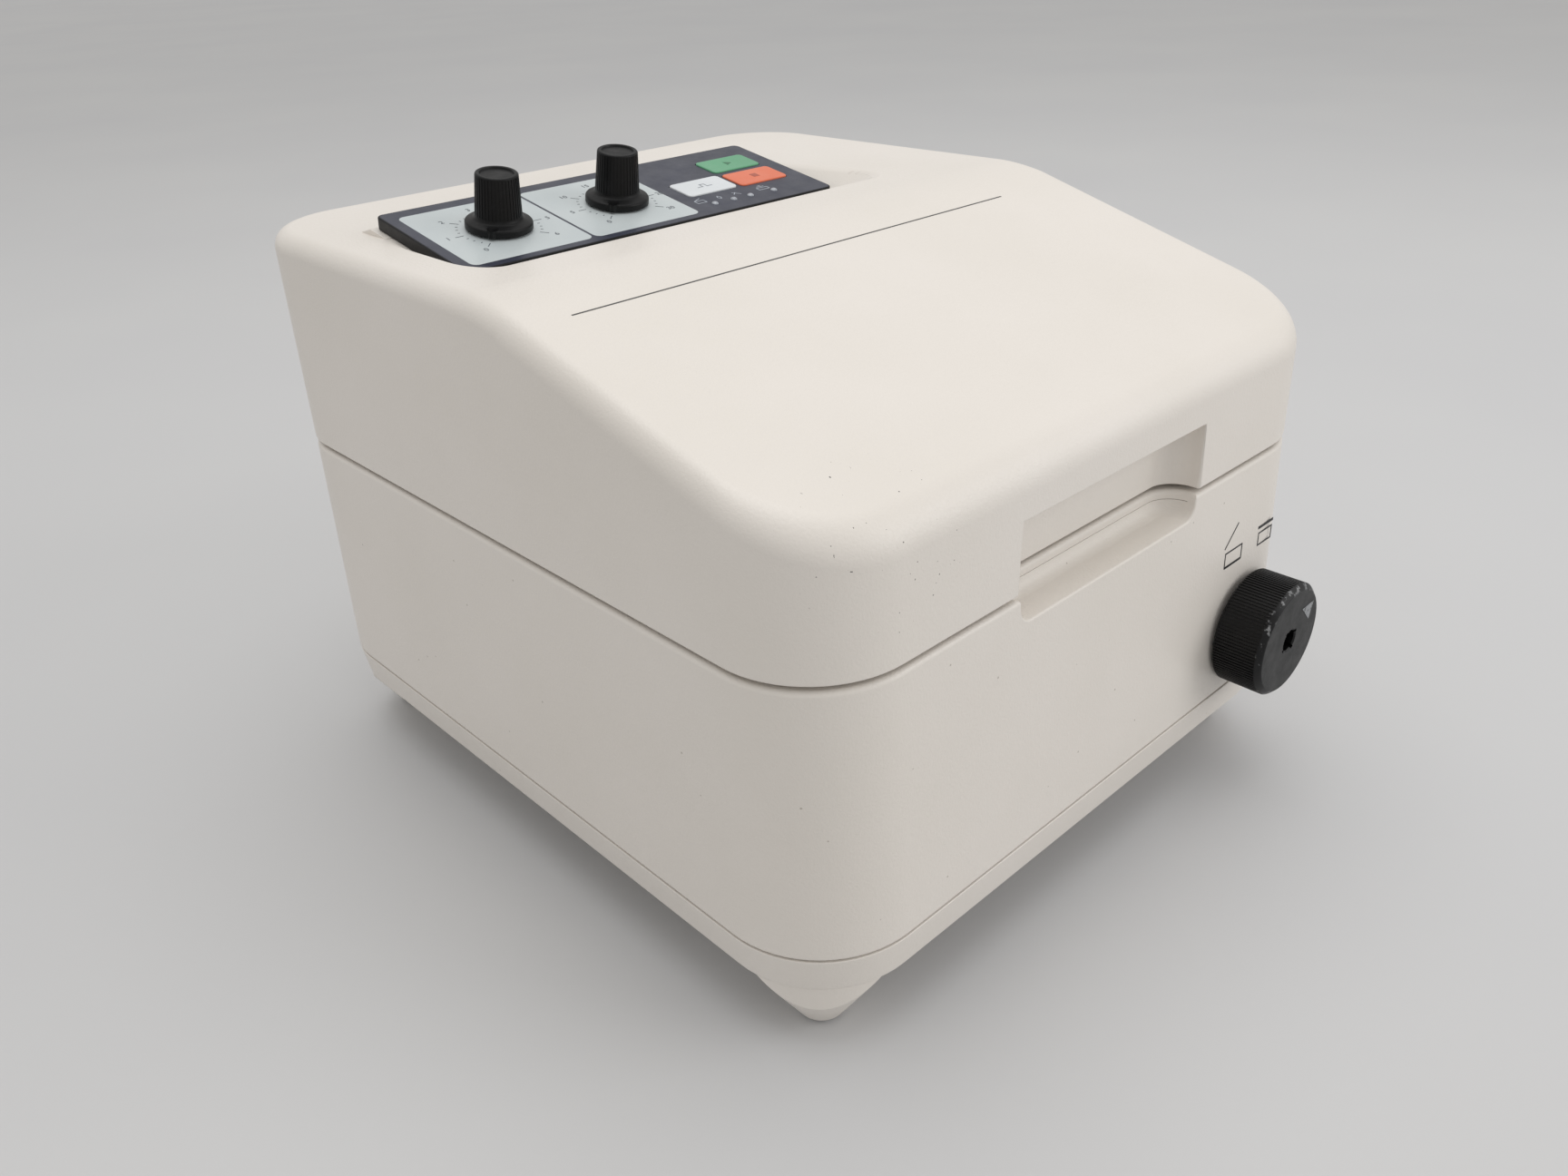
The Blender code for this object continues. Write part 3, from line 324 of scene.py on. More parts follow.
def grained(material, place, size, depth):
    """Surface normal of a fine grain with bumps of this size and depth."""
    grain = add(material, "ShaderNodeTexNoise", {"Vector": place, "Scale": 1 / size, "Detail": 2})
    return add(material, "ShaderNodeBump", {"Height": grain, "Distance": depth})


def uneven(material, cloud, low, high, smooth, rough):
    """Roughness that goes from smooth to rough between two levels of the noise."""
    return add(material, "ShaderNodeMapRange", {"Value": cloud, 1: low, 2: high, 3: smooth, 4: rough})


# ABS housing, spark-eroded mould grain: satin, with pebbles of about 0.9 mm that break up
# the shine on every rounded edge, faint cloudiness, and specks of dirt where it is held.
def grained_abs(name, shade, shadow, scuffed=None):
    material, shader, place = finish(name, {"Roughness": 0.42, "IOR": 1.53})
    tone = mottled(material, place, 70 * MM, 3, 0.3, 0.7, shade, shadow)[1]
    if scuffed is None:
        speck = add(material, "ShaderNodeTexVoronoi", {"Vector": place, "Scale": 1 / (9 * MM)})
        mark = add(material, "ShaderNodeMapRange", {"Value": speck, 1: 0.045, 2: 0.03})
        dirt = "#b9b2a8"
    else:
        offset = add(material, "ShaderNodeVectorMath", {0: place, 1: scuffed}, "Value", operation="DISTANCE")
        near = add(material, "ShaderNodeMapRange", {"Value": offset, 1: 26 * MM, 2: 20 * MM})
        chip = add(
            material, "ShaderNodeTexNoise", {"Vector": place, "Scale": 1 / (1.3 * MM), "Detail": 2}
        )
        chip = add(material, "ShaderNodeMapRange", {"Value": chip, 1: 0.735, 2: 0.755})
        mark = add(material, "ShaderNodeMath", {0: near, 1: chip}, operation="MULTIPLY")
        dirt = "#2b2a29"
    tone = add(material, "ShaderNodeMix", {0: mark, 6: tone, 7: linear(dirt)}, 2, data_type="RGBA")
    pebble = add(
        material, "ShaderNodeTexNoise",
        {"Vector": place, "Scale": 1 / (0.9 * MM), "Detail": 2, "Roughness": 0.6},
    )
    feed(
        material, shader, Base_Color=tone, Roughness=uneven(material, pebble, 0.35, 0.7, 0.36, 0.5),
        Normal=add(material, "ShaderNodeBump", {"Height": pebble, "Distance": 0.09 * MM}),
    )
    return material


SCUFFED_CORNER = (-92 * MM, CENTRE_Y - 134 * MM, DECK_Z + 32 * MM)
housing_abs = grained_abs("abs_mould_grain", "#e4ded7", "#e0dad2")
lid_abs = grained_abs("abs_mould_grain_scuffed", "#e4ded7", "#e0dad2", SCUFFED_CORNER)


def dressed(item, material, body, stands_for=()):
    """Gives a new piece its material and its body, and hides the nodes it replaces."""
    item.data.materials.clear()
    item.data.materials.append(material)
    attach(item, body)
    if stands_for:
        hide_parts(*stands_for)
    return item


dressed(housing, housing_abs, "base", ["base_housing"])

# Pan. A second, shallower moulding of the same plastic closes the housing from below. Its
# lip is bevelled along the seam, and a cone at each corner carries it, flush with the corner.

PAN_BOTTOM = 23.5 * MM
PAN_TAPER = 1.8 * MM
FOOT_X, FOOT_Y = 105.5 * MM, 121.6 * MM
pan = body_outline("pan_moulding", SEAM_Z, 0, FLARE)
only(pan)
bpy.ops.object.mode_set(mode="EDIT")
bpy.ops.mesh.select_all(action="SELECT")
bpy.ops.mesh.flip_normals()
bpy.ops.mesh.inset(thickness=PAN_TAPER, depth=SEAM_Z - PAN_BOTTOM)
modified(pan, "SOLIDIFY", thickness=3 * MM, offset=-1)
pick(pan, "VERT", lambda point: point.co.z > SEAM_Z - MM)
bpy.ops.transform.resize(value=(1, 1, 0), center_override=(0, 0, SEAM_Z))
rounded(pan, lambda edge: on_rim(edge, PAN_BOTTOM), 1.2 * MM, 4)

rounded(
    pan, lambda edge: on_rim(edge, SEAM_Z) and past_wall(middle(edge), 1.2 * MM), 0.5 * MM, 3
)
for side in (-1, 1):
    for end in (-1, 1):
        foot_x, foot_y = side * FOOT_X, CENTRE_Y + end * FOOT_Y
        only()
        bpy.ops.mesh.primitive_cone_add(
            vertices=64, radius1=7 * MM, radius2=20.5 * MM, depth=22.3 * MM,
            location=(foot_x, foot_y, 12.35 * MM),
        )
        foot = settled(bpy.context.object)
        pick(foot, "FACE", lambda face: face.normal.z > 0.9)
        bpy.ops.mesh.extrude_region_move(TRANSFORM_OT_translate={"value": (0, 0, 2 * MM)})
        column = body_outline("column", 0, PAN_TAPER + 0.25 * MM, FLARE)
        pick(column, "FACE", lambda face: True)
        bpy.ops.mesh.extrude_region_move(TRANSFORM_OT_translate={"value": (0, 0, 30 * MM)})
        bpy.ops.mesh.select_all(action="SELECT")
        bpy.ops.mesh.normals_make_consistent(inside=False)
        cut(foot, column, "INTERSECT")
        rounded(foot, lambda edge: on_rim(edge, 1.2 * MM), 1 * MM, 4)
        cut(foot, rod("pad_seat", (foot_x, foot_y, 5 * MM), 4.5 * MM, 8 * MM))
        cut(pan, foot, "UNION")
tidied(pan)
dressed(pan, housing_abs, "base", ["base_pan"])

# Foot pads. A turned rubber button is glued into a socket in the tip of each foot and
# stands a little proud of it, so that the machine stays where it is while it spins.


def turned(name, profile, place=None, steps=64):
    """Spins a profile of (radius, height) points in millimetres about Z, then places the piece."""
    only()
    bpy.ops.mesh.primitive_plane_add(size=MM, location=(0, 0, 0))
    item = bpy.context.object
    item.name = item.data.name = name
    bpy.ops.object.mode_set(mode="EDIT")
    bpy.ops.mesh.select_mode(type="VERT")
    bpy.ops.mesh.select_all(action="SELECT")
    bpy.ops.mesh.merge(type="CENTER")
    radius, height = profile[0]
    bpy.ops.transform.translate(value=(radius * MM, 0, height * MM))
    for next_radius, next_height in profile[1:]:
        step = ((next_radius - radius) * MM, 0, (next_height - height) * MM)
        bpy.ops.mesh.extrude_vertices_move(TRANSFORM_OT_translate={"value": step})
        radius, height = next_radius, next_height
    bpy.ops.mesh.select_all(action="SELECT")
    bpy.ops.mesh.spin(steps=steps, angle=2 * math.pi, center=(0, 0, 0), axis=(0, 0, 1))
    bpy.ops.mesh.select_all(action="SELECT")
    bpy.ops.mesh.remove_doubles(threshold=0.002 * MM)
    bpy.ops.mesh.normals_make_consistent(inside=False)
    return settled(item, place)


def arc(centre_radius, centre_height, radius, start, end, steps=5):
    """Points of a fillet in a profile, in millimetres and degrees."""
    points = []
    for step in range(steps + 1):
        angle = math.radians(start + (end - start) * step / steps)
        points.append((
            centre_radius + radius * math.cos(angle), centre_height + radius * math.sin(angle)
        ))
    return points


# Moulded rubber: near black, matt, with a fine bloom that greys it unevenly.
def moulded_rubber(name, shade="#1c1c1d"):
    material, shader, place = finish(name, {"Roughness": 0.78, "IOR": 1.52})
    tone = mottled(material, place, 6 * MM, 4, 0.4, 0.8, shade, "#333334")[1]
    feed(material, shader, Base_Color=tone, Normal=grained(material, place, 0.35 * MM, 0.03 * MM))
    return material


black_rubber = moulded_rubber("moulded_rubber")
for number in range(1, 5):
    low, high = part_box(f"foot_pad_{number}")
    spot = Matrix.Translation(((low.x + high.x) / 2, (low.y + high.y) / 2, 0))
    profile = [(0, 0.3), (3.2, 0.3), (3.7, 0)] + arc(5, 0.6, 0.6, -90, 0) + [(5.6, 0.9)]
    profile += [(4.1, 1.1), (4.1, 5), (0, 5)]
    pad = tidied(turned(f"rubber_foot_{number}", profile, spot, 40))
    dressed(pad, black_rubber, "base", [f"foot_pad_{number}"])

# Chamber. A bowl spun from stainless sheet hangs by its flange on the housing's deck, with
# a rubber grommet where the motor's neck comes up through its floor.

SPINDLE = Matrix.Translation((0, CENTRE_Y, 0))
RIM_Z = DECK_Z / MM + 0.3
bowl_profile = [(108, RIM_Z + 0.3)] + arc(107.4, RIM_Z + 0.6, 0.6, -90, 90, 4)
bowl_profile += arc(97.6, RIM_Z - 1.1, 2.6, 90, 180)
bowl_profile += [(95, 96)] + arc(85, 74.5, 10, 0, -90, 8) + [(50, 64.3), (18.3, 64.5), (18.3, 63)]
bowl_profile += [(50, 62.8)] + arc(85, 74.5, 11.5, -90, 0, 8) + [(96.5, 96)]
bowl_profile += [(96.5, RIM_Z), (107.4, RIM_Z), (108, RIM_Z + 0.3)]
bowl = tidied(turned("spun_bowl", bowl_profile, SPINDLE, 128))


# Bare metal, from its colour and how it was worked. Grooves are rings about an upright
# axis, lines along X or cloud, and all are drawn coarser than real ones so that they show.
def worked_metal(name, shade, roughness, grooves="cloud", pitch=0.5 * MM, centre=(0, 0, 0)):
    material, shader, place = finish(name, {"Roughness": roughness, "Metallic": 1.0})
    place = add(material, "ShaderNodeVectorMath", {0: place, 1: centre}, operation="SUBTRACT")
    across = place
    if grooves == "rings":
        flat = add(material, "ShaderNodeVectorMath", {0: place, 1: (1, 1, 0)}, operation="MULTIPLY")
        length = add(material, "ShaderNodeVectorMath", {0: flat}, "Value", operation="LENGTH")
        height = add(material, "ShaderNodeSeparateXYZ", {0: place}, "Z")
        across = add(material, "ShaderNodeCombineXYZ", {"X": length, "Z": height})
    if grooves == "lines":
        across = add(
            material, "ShaderNodeVectorMath", {0: place, 1: (0.04, 1, 1)}, operation="MULTIPLY"
        )
    lines = add(material, "ShaderNodeTexNoise", {"Vector": across, "Scale": 1 / pitch, "Detail": 3})
    feed(
        material, shader,
        Base_Color=mottled(material, place, 18 * MM, 3, 0.35, 0.75, shade, "#8f8f90", 0.35)[1],
        Roughness=uneven(material, lines, 0.3, 0.7, roughness * 0.8, roughness * 1.25),
        Normal=add(material, "ShaderNodeBump", {"Height": lines, "Distance": 0.012 * MM}),
    )
    return material


spun_stainless = worked_metal("stainless_spun", "#c9cacb", 0.27, "rings", 0.8 * MM, (0, CENTRE_Y, 0))
dressed(bowl, spun_stainless, "base", ["chamber_bowl"])

grommet_profile = arc(19.6, 65.3, 1.4, -90, 90, 4) + arc(15.6, 65.4, 1.3, 90, 180, 3)
grommet_profile += arc(15.6, 62.1, 1.3, 180, 270, 3) + arc(19.6, 62.1, 1.3, -90, 60, 4)
grommet_profile += [(17.6, 63), (17.6, 64.4), grommet_profile[0]]
grommet = tidied(turned("neck_grommet", grommet_profile, SPINDLE))
dressed(grommet, black_rubber, "base", ["bowl_grommet"])

# Motor and power parts. They sit on the pan under the bowl, behind closed walls: a black
# motor on three dampers, a transformer and a drive board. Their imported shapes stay.


# Gloss black stove enamel with slight orange peel.
def stove_enamel(name, shade):
    material, shader, place = finish(name, {"Roughness": 0.3, "IOR": 1.5})
    tone = mottled(material, place, 25 * MM, 4, 0.45, 0.8, shade, "#57534e", 0.5)[1]
    feed(material, shader, Base_Color=tone, Normal=grained(material, place, 2.5 * MM, 0.04 * MM))
    return material


# Glass-filled nylon and ABS, moulded black: satin, with fine grain and faint handling marks.
def moulded_black(name, shade="#141415", worn="#3a3a3b", roughness=0.42):
    material, shader, place = finish(
        name, {"Roughness": roughness, "IOR": 1.5, "Specular IOR Level": 0.22}
    )
    rub, tone = mottled(material, place, 4 * MM, 5, 0.52, 0.9, shade, worn, roughness=0.65)
    feed(
        material, shader, Base_Color=tone,
        Roughness=uneven(material, rub, 0.3, 0.75, roughness * 0.85, roughness * 1.3),
        Normal=grained(material, place, 0.4 * MM, 0.02 * MM),
    )
    return material


# Glass-epoxy circuit board under green solder mask, with paler tracks every 2.5 mm.
def circuit_board(name):
    material, shader, place = finish(name, {"Roughness": 0.32, "IOR": 1.5})
    cells = add(
        material, "ShaderNodeTexBrick",
        {
            "Vector": place, "Scale": 1 / (10 * MM), "Mortar Size": 0.05, "Color1": linear("#1d5a34"),
            "Color2": linear("#1a5230"), "Mortar": linear("#3f8a58"),
        },
        "Color",
    )
    haze, tone = mottled(material, place, 8 * MM, 3, 0.4, 0.8, cells, "#123a22", 0.3)
    feed(
        material, shader, Base_Color=tone,
        Normal=add(material, "ShaderNodeBump", {"Height": haze, "Distance": 0.02 * MM}),
    )
    return material


# Polyester tape round the transformer's winding: amber, with overlapping turns 4 mm apart.
def winding_tape(name):
    material, shader, place = finish(name, {"Roughness": 0.35, "IOR": 1.55})
    turns = add(
        material, "ShaderNodeTexWave", {"Vector": place, "Scale": 1 / (20 * MM), "Distortion": 0.4},
        "Fac", bands_direction="Y",
    )
    tone = add(
        material, "ShaderNodeMix", {0: turns, 6: linear("#b98a3c"), 7: linear("#a3742b")}, 2,
        data_type="RGBA",
    )
    feed(
        material, shader, Base_Color=tone,
        Normal=add(material, "ShaderNodeBump", {"Height": turns, "Distance": 0.1 * MM}),
    )
    return material


motor_enamel = stove_enamel("stove_enamel_black", "#141416")
zinc_steel = worked_metal("zinc_plated_steel", "#b4b7ba", 0.36, "cloud", 1.6 * MM)
drawn_steel = worked_metal("drawn_steel_bar", "#c3c4c6", 0.25, "lines", 0.5 * MM)
turned_brass = worked_metal("turned_brass", "#c9a55c", 0.28, "cloud", 0.6 * MM)
heatsink_aluminium = worked_metal("extruded_aluminium", "#c4c6c8", 0.34, "lines", 0.6 * MM)
black_nylon = moulded_black("glass_filled_nylon")
board_green = circuit_board("circuit_board_green")
amber_tape = winding_tape("winding_tape_amber")


def refinished(material, *names):
    """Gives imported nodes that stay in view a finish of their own."""
    for name in names:
        nodes[name].data.materials.clear()
        nodes[name].data.materials.append(material)


refinished(motor_enamel, "motor")
refinished(zinc_steel, "motor_plate", "transformer_core", "speed_potentiometer", "time_potentiometer")
refinished(black_rubber, "motor_damper_1", "motor_damper_2", "motor_damper_3")
refinished(board_green, "drive_board", "panel_board")
refinished(black_nylon, "board_capacitor", "lid_sensor")
refinished(heatsink_aluminium, "board_heatsink")
refinished(amber_tape, "transformer_winding")
refinished(turned_brass, "lock_bushing")
refinished(drawn_steel, "speed_shaft", "time_shaft", "lid_magnet")

# Rotor. Turned from one piece of aluminium and anodised clear, with twelve bores at 45
# degrees for micro tubes, a number beside each bore, and a knurled nut on the motor's shaft.

rotor_profile = [(5.3, 68.2), (5.3, 103.1), (12.6, 103.1), (13.2, 102.6), (15, 100.4)]
rotor_profile += arc(18, 89.2, 3, 180, 262, 4) + [(27.4, 83.4)]
rotor_profile += [(55, 111), (56.2, 111.9), (61.6, 112), (62.5, 111.5)]
rotor_profile += [(80.2, 97.4), (80.87, 96.2), (80.87, 79)] + arc(75.4, 74.2, 5.5, 8, -82, 6)
rotor_profile += [(71.4, 68.2), (66, 68.2), (64, 70.2), (34, 70.2), (32, 68.2), (5.3, 68.2)]
rotor = turned("angle_rotor", rotor_profile, SPINDLE, 144)
LEAN = Matrix.Rotation(math.radians(-45), 4, "Y")
for number in range(12):
    turn = SPINDLE @ Matrix.Rotation(math.radians(30 * number), 4, "Z")
    mouth = turn @ Matrix.Translation((46 * MM, 0, 102 * MM)) @ LEAN
    bore_profile = [(0, -38), (2.5, -37.2), (5.5, -32), (5.5, -1), (6.5, 0), (6.5, 16), (0, 16)]
    cut(rotor, turned("drill", bore_profile, mouth, 32))
tidied(rotor, 24)
anodised = worked_metal("anodised_aluminium", "#b9bcbf", 0.33, "rings", 0.9 * MM, (0, CENTRE_Y, 0))
dressed(rotor, anodised, "rotor", ["rotor"])


def number_sign(name, text, height, place, material, body):
    """One printed number, a little proud of what it is printed on."""
    only()
    bpy.ops.object.text_add(location=(0, 0, 0))
    item = bpy.context.object
    item.data.body = text
    item.data.size = height
    item.data.align_x, item.data.align_y = "CENTER", "CENTER"
    item.data.extrude = 0.03 * MM
    item.data.resolution_u = 4
    bpy.ops.object.convert(target="MESH")
    item = bpy.context.object
    item.name = item.data.name = name
    settled(item, place)
    return dressed(item, material, body)


infill = moulded_black("paint_infill_black", "#1a1a1b", "#3c3c3d")
for number in range(1, 13):
    turn = SPINDLE @ Matrix.Rotation(math.radians(30 * (number - 1)), 4, "Z")
    beside = turn @ Matrix.Translation((59 * MM, 0, 112 * MM)) @ Matrix.Rotation(math.radians(-90), 4, "Z")
    number_sign(f"rotor_number_{number}", str(number), 3.2 * MM, beside, infill, "rotor")

nut = turned(
    "rotor_clamp_nut",
    [(0, 113), (4, 113), (4.4, 112.6), (9.4, 112.6)] + arc(10.6, 111.2, 1.3, 80, 0)
    + [(11.9, 104.2), (11.5, 103.45), (0, 103.45)],
    SPINDLE,
    72,
)
pick(nut, "FACE", lambda face: abs(face.normal.z) < 0.1 and round(math.degrees(
    math.atan2(face.calc_center_median().y - CENTRE_Y, face.calc_center_median().x)) / 5) % 2)
bpy.ops.mesh.extrude_region_shrink_fatten(TRANSFORM_OT_shrink_fatten={"value": -0.35 * MM})
tidied(nut)
dressed(nut, drawn_steel, "rotor", ["rotor_nut"])
refinished(drawn_steel, "motor_shaft")

# Mains fittings. A moulded inlet with three brass pins, a fuse cap, a rocker switch in its
# frame and a louvred grille are pressed or screwed into the rear wall.


def refined(node, name, material, body, width=0.4 * MM, steps=3):
    """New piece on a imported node's own shape, with its points merged and its edges rounded."""
    item = bpy.data.objects.new(name, nodes[node].data.copy())
    bpy.context.scene.collection.objects.link(item)
    item.data.name = name
    pick(item, "VERT", lambda point: True)
    bpy.ops.mesh.remove_doubles(threshold=0.002 * MM)
    bpy.ops.mesh.select_all(action="SELECT")
    bpy.ops.mesh.dissolve_limited(angle_limit=math.radians(1))
    modified(
        item, "BEVEL", width=width, segments=steps, limit_method="ANGLE",
        angle_limit=math.radians(40), use_clamp_overlap=True,
    )
    tidied(item)
    return dressed(item, material, body, [node])


refined("mains_inlet", "inlet_moulding", black_nylon, "base", 0.6 * MM)
refined("mains_pins", "inlet_pins", turned_brass, "base", 0.35 * MM)
refined("switch_frame", "switch_bezel", black_nylon, "base", 0.5 * MM)
refined("rear_grille", "air_grille", black_nylon, "base", 0.25 * MM, 2)
refined("power_rocker", "rocker", black_nylon, "power_rocker", 0.4 * MM)

white_ink = stove_enamel("screen_ink_white", "#dcdcda")
ROCKER = Matrix.Translation((34 * MM, BACK_Y - 3.5 * MM, REAR_Z)) @ Matrix.Rotation(math.radians(-8), 4, "X")
fuse = turned(
    "fuse_cap",
    [(0, -21), (5.6, -21), (6, -20.6), (6, 0.3), (7.5, 0.3), (7.5, 3.6)] + arc(6.5, 4, 0.95, 0, 90)
    + [(4.2, 4.95), (4, 4.6), (0, 4.6)],
    Matrix.Translation((FUSE_X, BACK_Y, REAR_Z)) @ Matrix.Rotation(math.radians(-90), 4, "X"),
    60,
)
pick(fuse, "FACE", lambda face: abs(face.normal.y) < 0.1 and face.calc_center_median().y > BACK_Y + MM
     and round(math.degrees(math.atan2(face.calc_center_median().z - REAR_Z,
                                       face.calc_center_median().x - FUSE_X)) / 6) % 2)
bpy.ops.mesh.extrude_region_shrink_fatten(TRANSFORM_OT_shrink_fatten={"value": -0.25 * MM})
only(fuse)
cut(fuse, block("coin_slot", (FUSE_X - 5 * MM, BACK_Y + 4 * MM, REAR_Z - 0.6 * MM),
                (FUSE_X + 5 * MM, BACK_Y + 6 * MM, REAR_Z + 0.6 * MM)))
tidied(fuse)
dressed(fuse, black_nylon, "base", ["fuse_holder"])

# Switch signs. A bar and a ring are printed on the rocker's two faces, and ride with it.
for name, height, radius in (("rocker_bar", 3.6, 0), ("rocker_ring", -3.7, 1.5)):
    if radius:
        sign = turned(name, [(1.1, 0), (1.5, 0), (1.5, 0.12), (1.1, 0.12), (1.1, 0)], None, 32)
    else:
        sign = block(name, (-0.25 * MM, -1.5 * MM, 0), (0.25 * MM, 1.5 * MM, 0.12 * MM))
    tilt = math.atan2(2, 7.4) if height > 0 else -math.atan2(2, 7.4)
    rise = 5 * MM + abs(height) * MM * 2 / 7.4
    lie = Matrix.Translation((0, rise, height * MM)) @ Matrix.Rotation(math.radians(-90) + tilt, 4, "X")
    settled(sign, ROCKER @ lie)
    dressed(tidied(sign), white_ink, "power_rocker")

# Hinges. Two pressed steel leaves per side, zinc plated, are screwed to the rear walls. The
# base leaf has the middle knuckle, the lid leaf the outer two, on a riveted steel pin.

pin_low, pin_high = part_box("hinge_pin_left")
HINGE_Y, HINGE_Z = (pin_low.y + pin_high.y) / 2, (pin_low.z + pin_high.z) / 2
HINGE_X = (pin_high.x - pin_low.x) / 2 - pin_high.x


def screw_head(name, place, radius, body):
    """Pan head with a cross recess, its axis along its own Z."""
    head = turned(
        name, [(0, -1), (radius * 0.6, -1), (radius * 0.6, 0), (radius, 0), (radius, 0.35 * radius)]
        + arc(0.55 * radius, 0.35 * radius, 0.45 * radius, 0, 80, 4) + [(0, 0.85 * radius)], None, 32
    )
    arm, thin = 0.55 * radius * MM, 0.13 * radius * MM
    for wide, tall in ((arm, thin), (thin, arm)):
        cut(head, block("recess", (-wide, -tall, 0.3 * radius * MM), (wide, tall, 2 * radius * MM)))
    settled(head, place)
    return dressed(tidied(head), drawn_steel, body)


def hinge_leaf(name, x, low, high, spans, web, body, node):
    """Plate on the wall with its knuckles, bored for the pin, and two screws."""
    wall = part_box(node)[0].y
    leaf = block(
        name, (x - 16 * MM, wall, HINGE_Z + low * MM), (x + 16 * MM, wall + 2.5 * MM, HINGE_Z + high * MM)
    )
    rounded(leaf, lambda edge: run(edge).y > 0.9, 2.5 * MM, 5)
    rounded(leaf, lambda edge: middle(edge).y > wall + 2.4 * MM, 0.5 * MM, 2)
    for start, end in spans:
        length, mid = (end - start) * MM, x + (start + end) / 2 * MM
        arm = block("web", (mid - length / 2, wall + 0.3 * MM, HINGE_Z + web[0] * MM),
                    (mid + length / 2, HINGE_Y, HINGE_Z + web[1] * MM))
        cut(leaf, arm, "UNION")
        cut(leaf, rod("knuckle", (mid, HINGE_Y, HINGE_Z), 5 * MM, length, "X"), "UNION")
    cut(leaf, rod("pin_bore", (x, HINGE_Y, HINGE_Z), 2.4 * MM, 40 * MM, "X"))
    dressed(tidied(leaf, 35), zinc_steel, body, [node])
    for number, offset in enumerate((-10, 10), 1):
        face = (x + offset * MM, wall + 2.5 * MM, HINGE_Z + (low + high) / 2 * MM)
        out = Matrix.Translation(face) @ Matrix.Rotation(math.radians(-90), 4, "X")
        screw_head(f"{name}_screw_{number}", out, 2.6, body)


for side, label in ((-1, "left"), (1, "right")):
    x = side * abs(HINGE_X)
    hinge_leaf(f"leaf_base_{label}", x, -26, -6.5, [(-5, 5)], (-8, -2), "base", f"hinge_base_{label}")
    hinge_leaf(
        f"leaf_lid_{label}", x, 6, 26, [(-16, -5.5), (5.5, 16)], (1.5, 7), "lid", f"hinge_lid_{label}"
    )
    pin = rod(f"riveted_pin_{label}", (x, HINGE_Y, HINGE_Z), 2 * MM, 33 * MM, "X")
    rounded(pin, lambda edge: run(edge).x < 0.1, 0.5 * MM, 3)
    dressed(tidied(pin), drawn_steel, "base", [f"hinge_pin_{label}"])

# Lid lock. A black phenolic knob on a steel shaft drives a zinc-plated slide, whose hook
# holds the lid's striker. The grip is ribbed, and its rim is chipped from use.

LOCK_DEPTH = lock_high.y - lock_low.y
LOCK_FACE = Matrix.Translation((LOCK_X, lock_high.y, LOCK_Z)) @ Matrix.Rotation(math.radians(90), 4, "X")
depth = LOCK_DEPTH / MM
grip_profile = [(0, depth - 7), (3.9, depth - 7), (3.9, depth - 0.6), (4.4, depth - 0.1), (18.6, depth)]
grip_profile += [(19, depth - 0.15), (20.5, depth - 1.5), (20.8, depth - 1.9), (20.8, 0.9), (20.4, 0.3)]
grip_profile += [(19.8, 0), (4.3, 0), (4.3, depth - 10), (0, depth - 10)]
grip = turned("lock_grip", grip_profile, None, 216)
pick(grip, "FACE", lambda face: abs(face.normal.z) < 0.1 and face.calc_center_median().xy.length > 20.7 * MM
     and math.degrees(math.atan2(*face.calc_center_median().xy)) % (10 / 3) < 5 / 3)
bpy.ops.mesh.extrude_region_shrink_fatten(TRANSFORM_OT_shrink_fatten={"value": -0.28 * MM})
for turn in (0, 90):
    arm = block("cross", (-5 * MM, -0.7 * MM, LOCK_DEPTH - 5 * MM), (5 * MM, 0.7 * MM, LOCK_DEPTH + MM))
    settled(arm, Matrix.Rotation(math.radians(turn + 37), 4, "Z"))
    cut(grip, arm)
settled(grip, LOCK_FACE)
tidied(grip, 24)


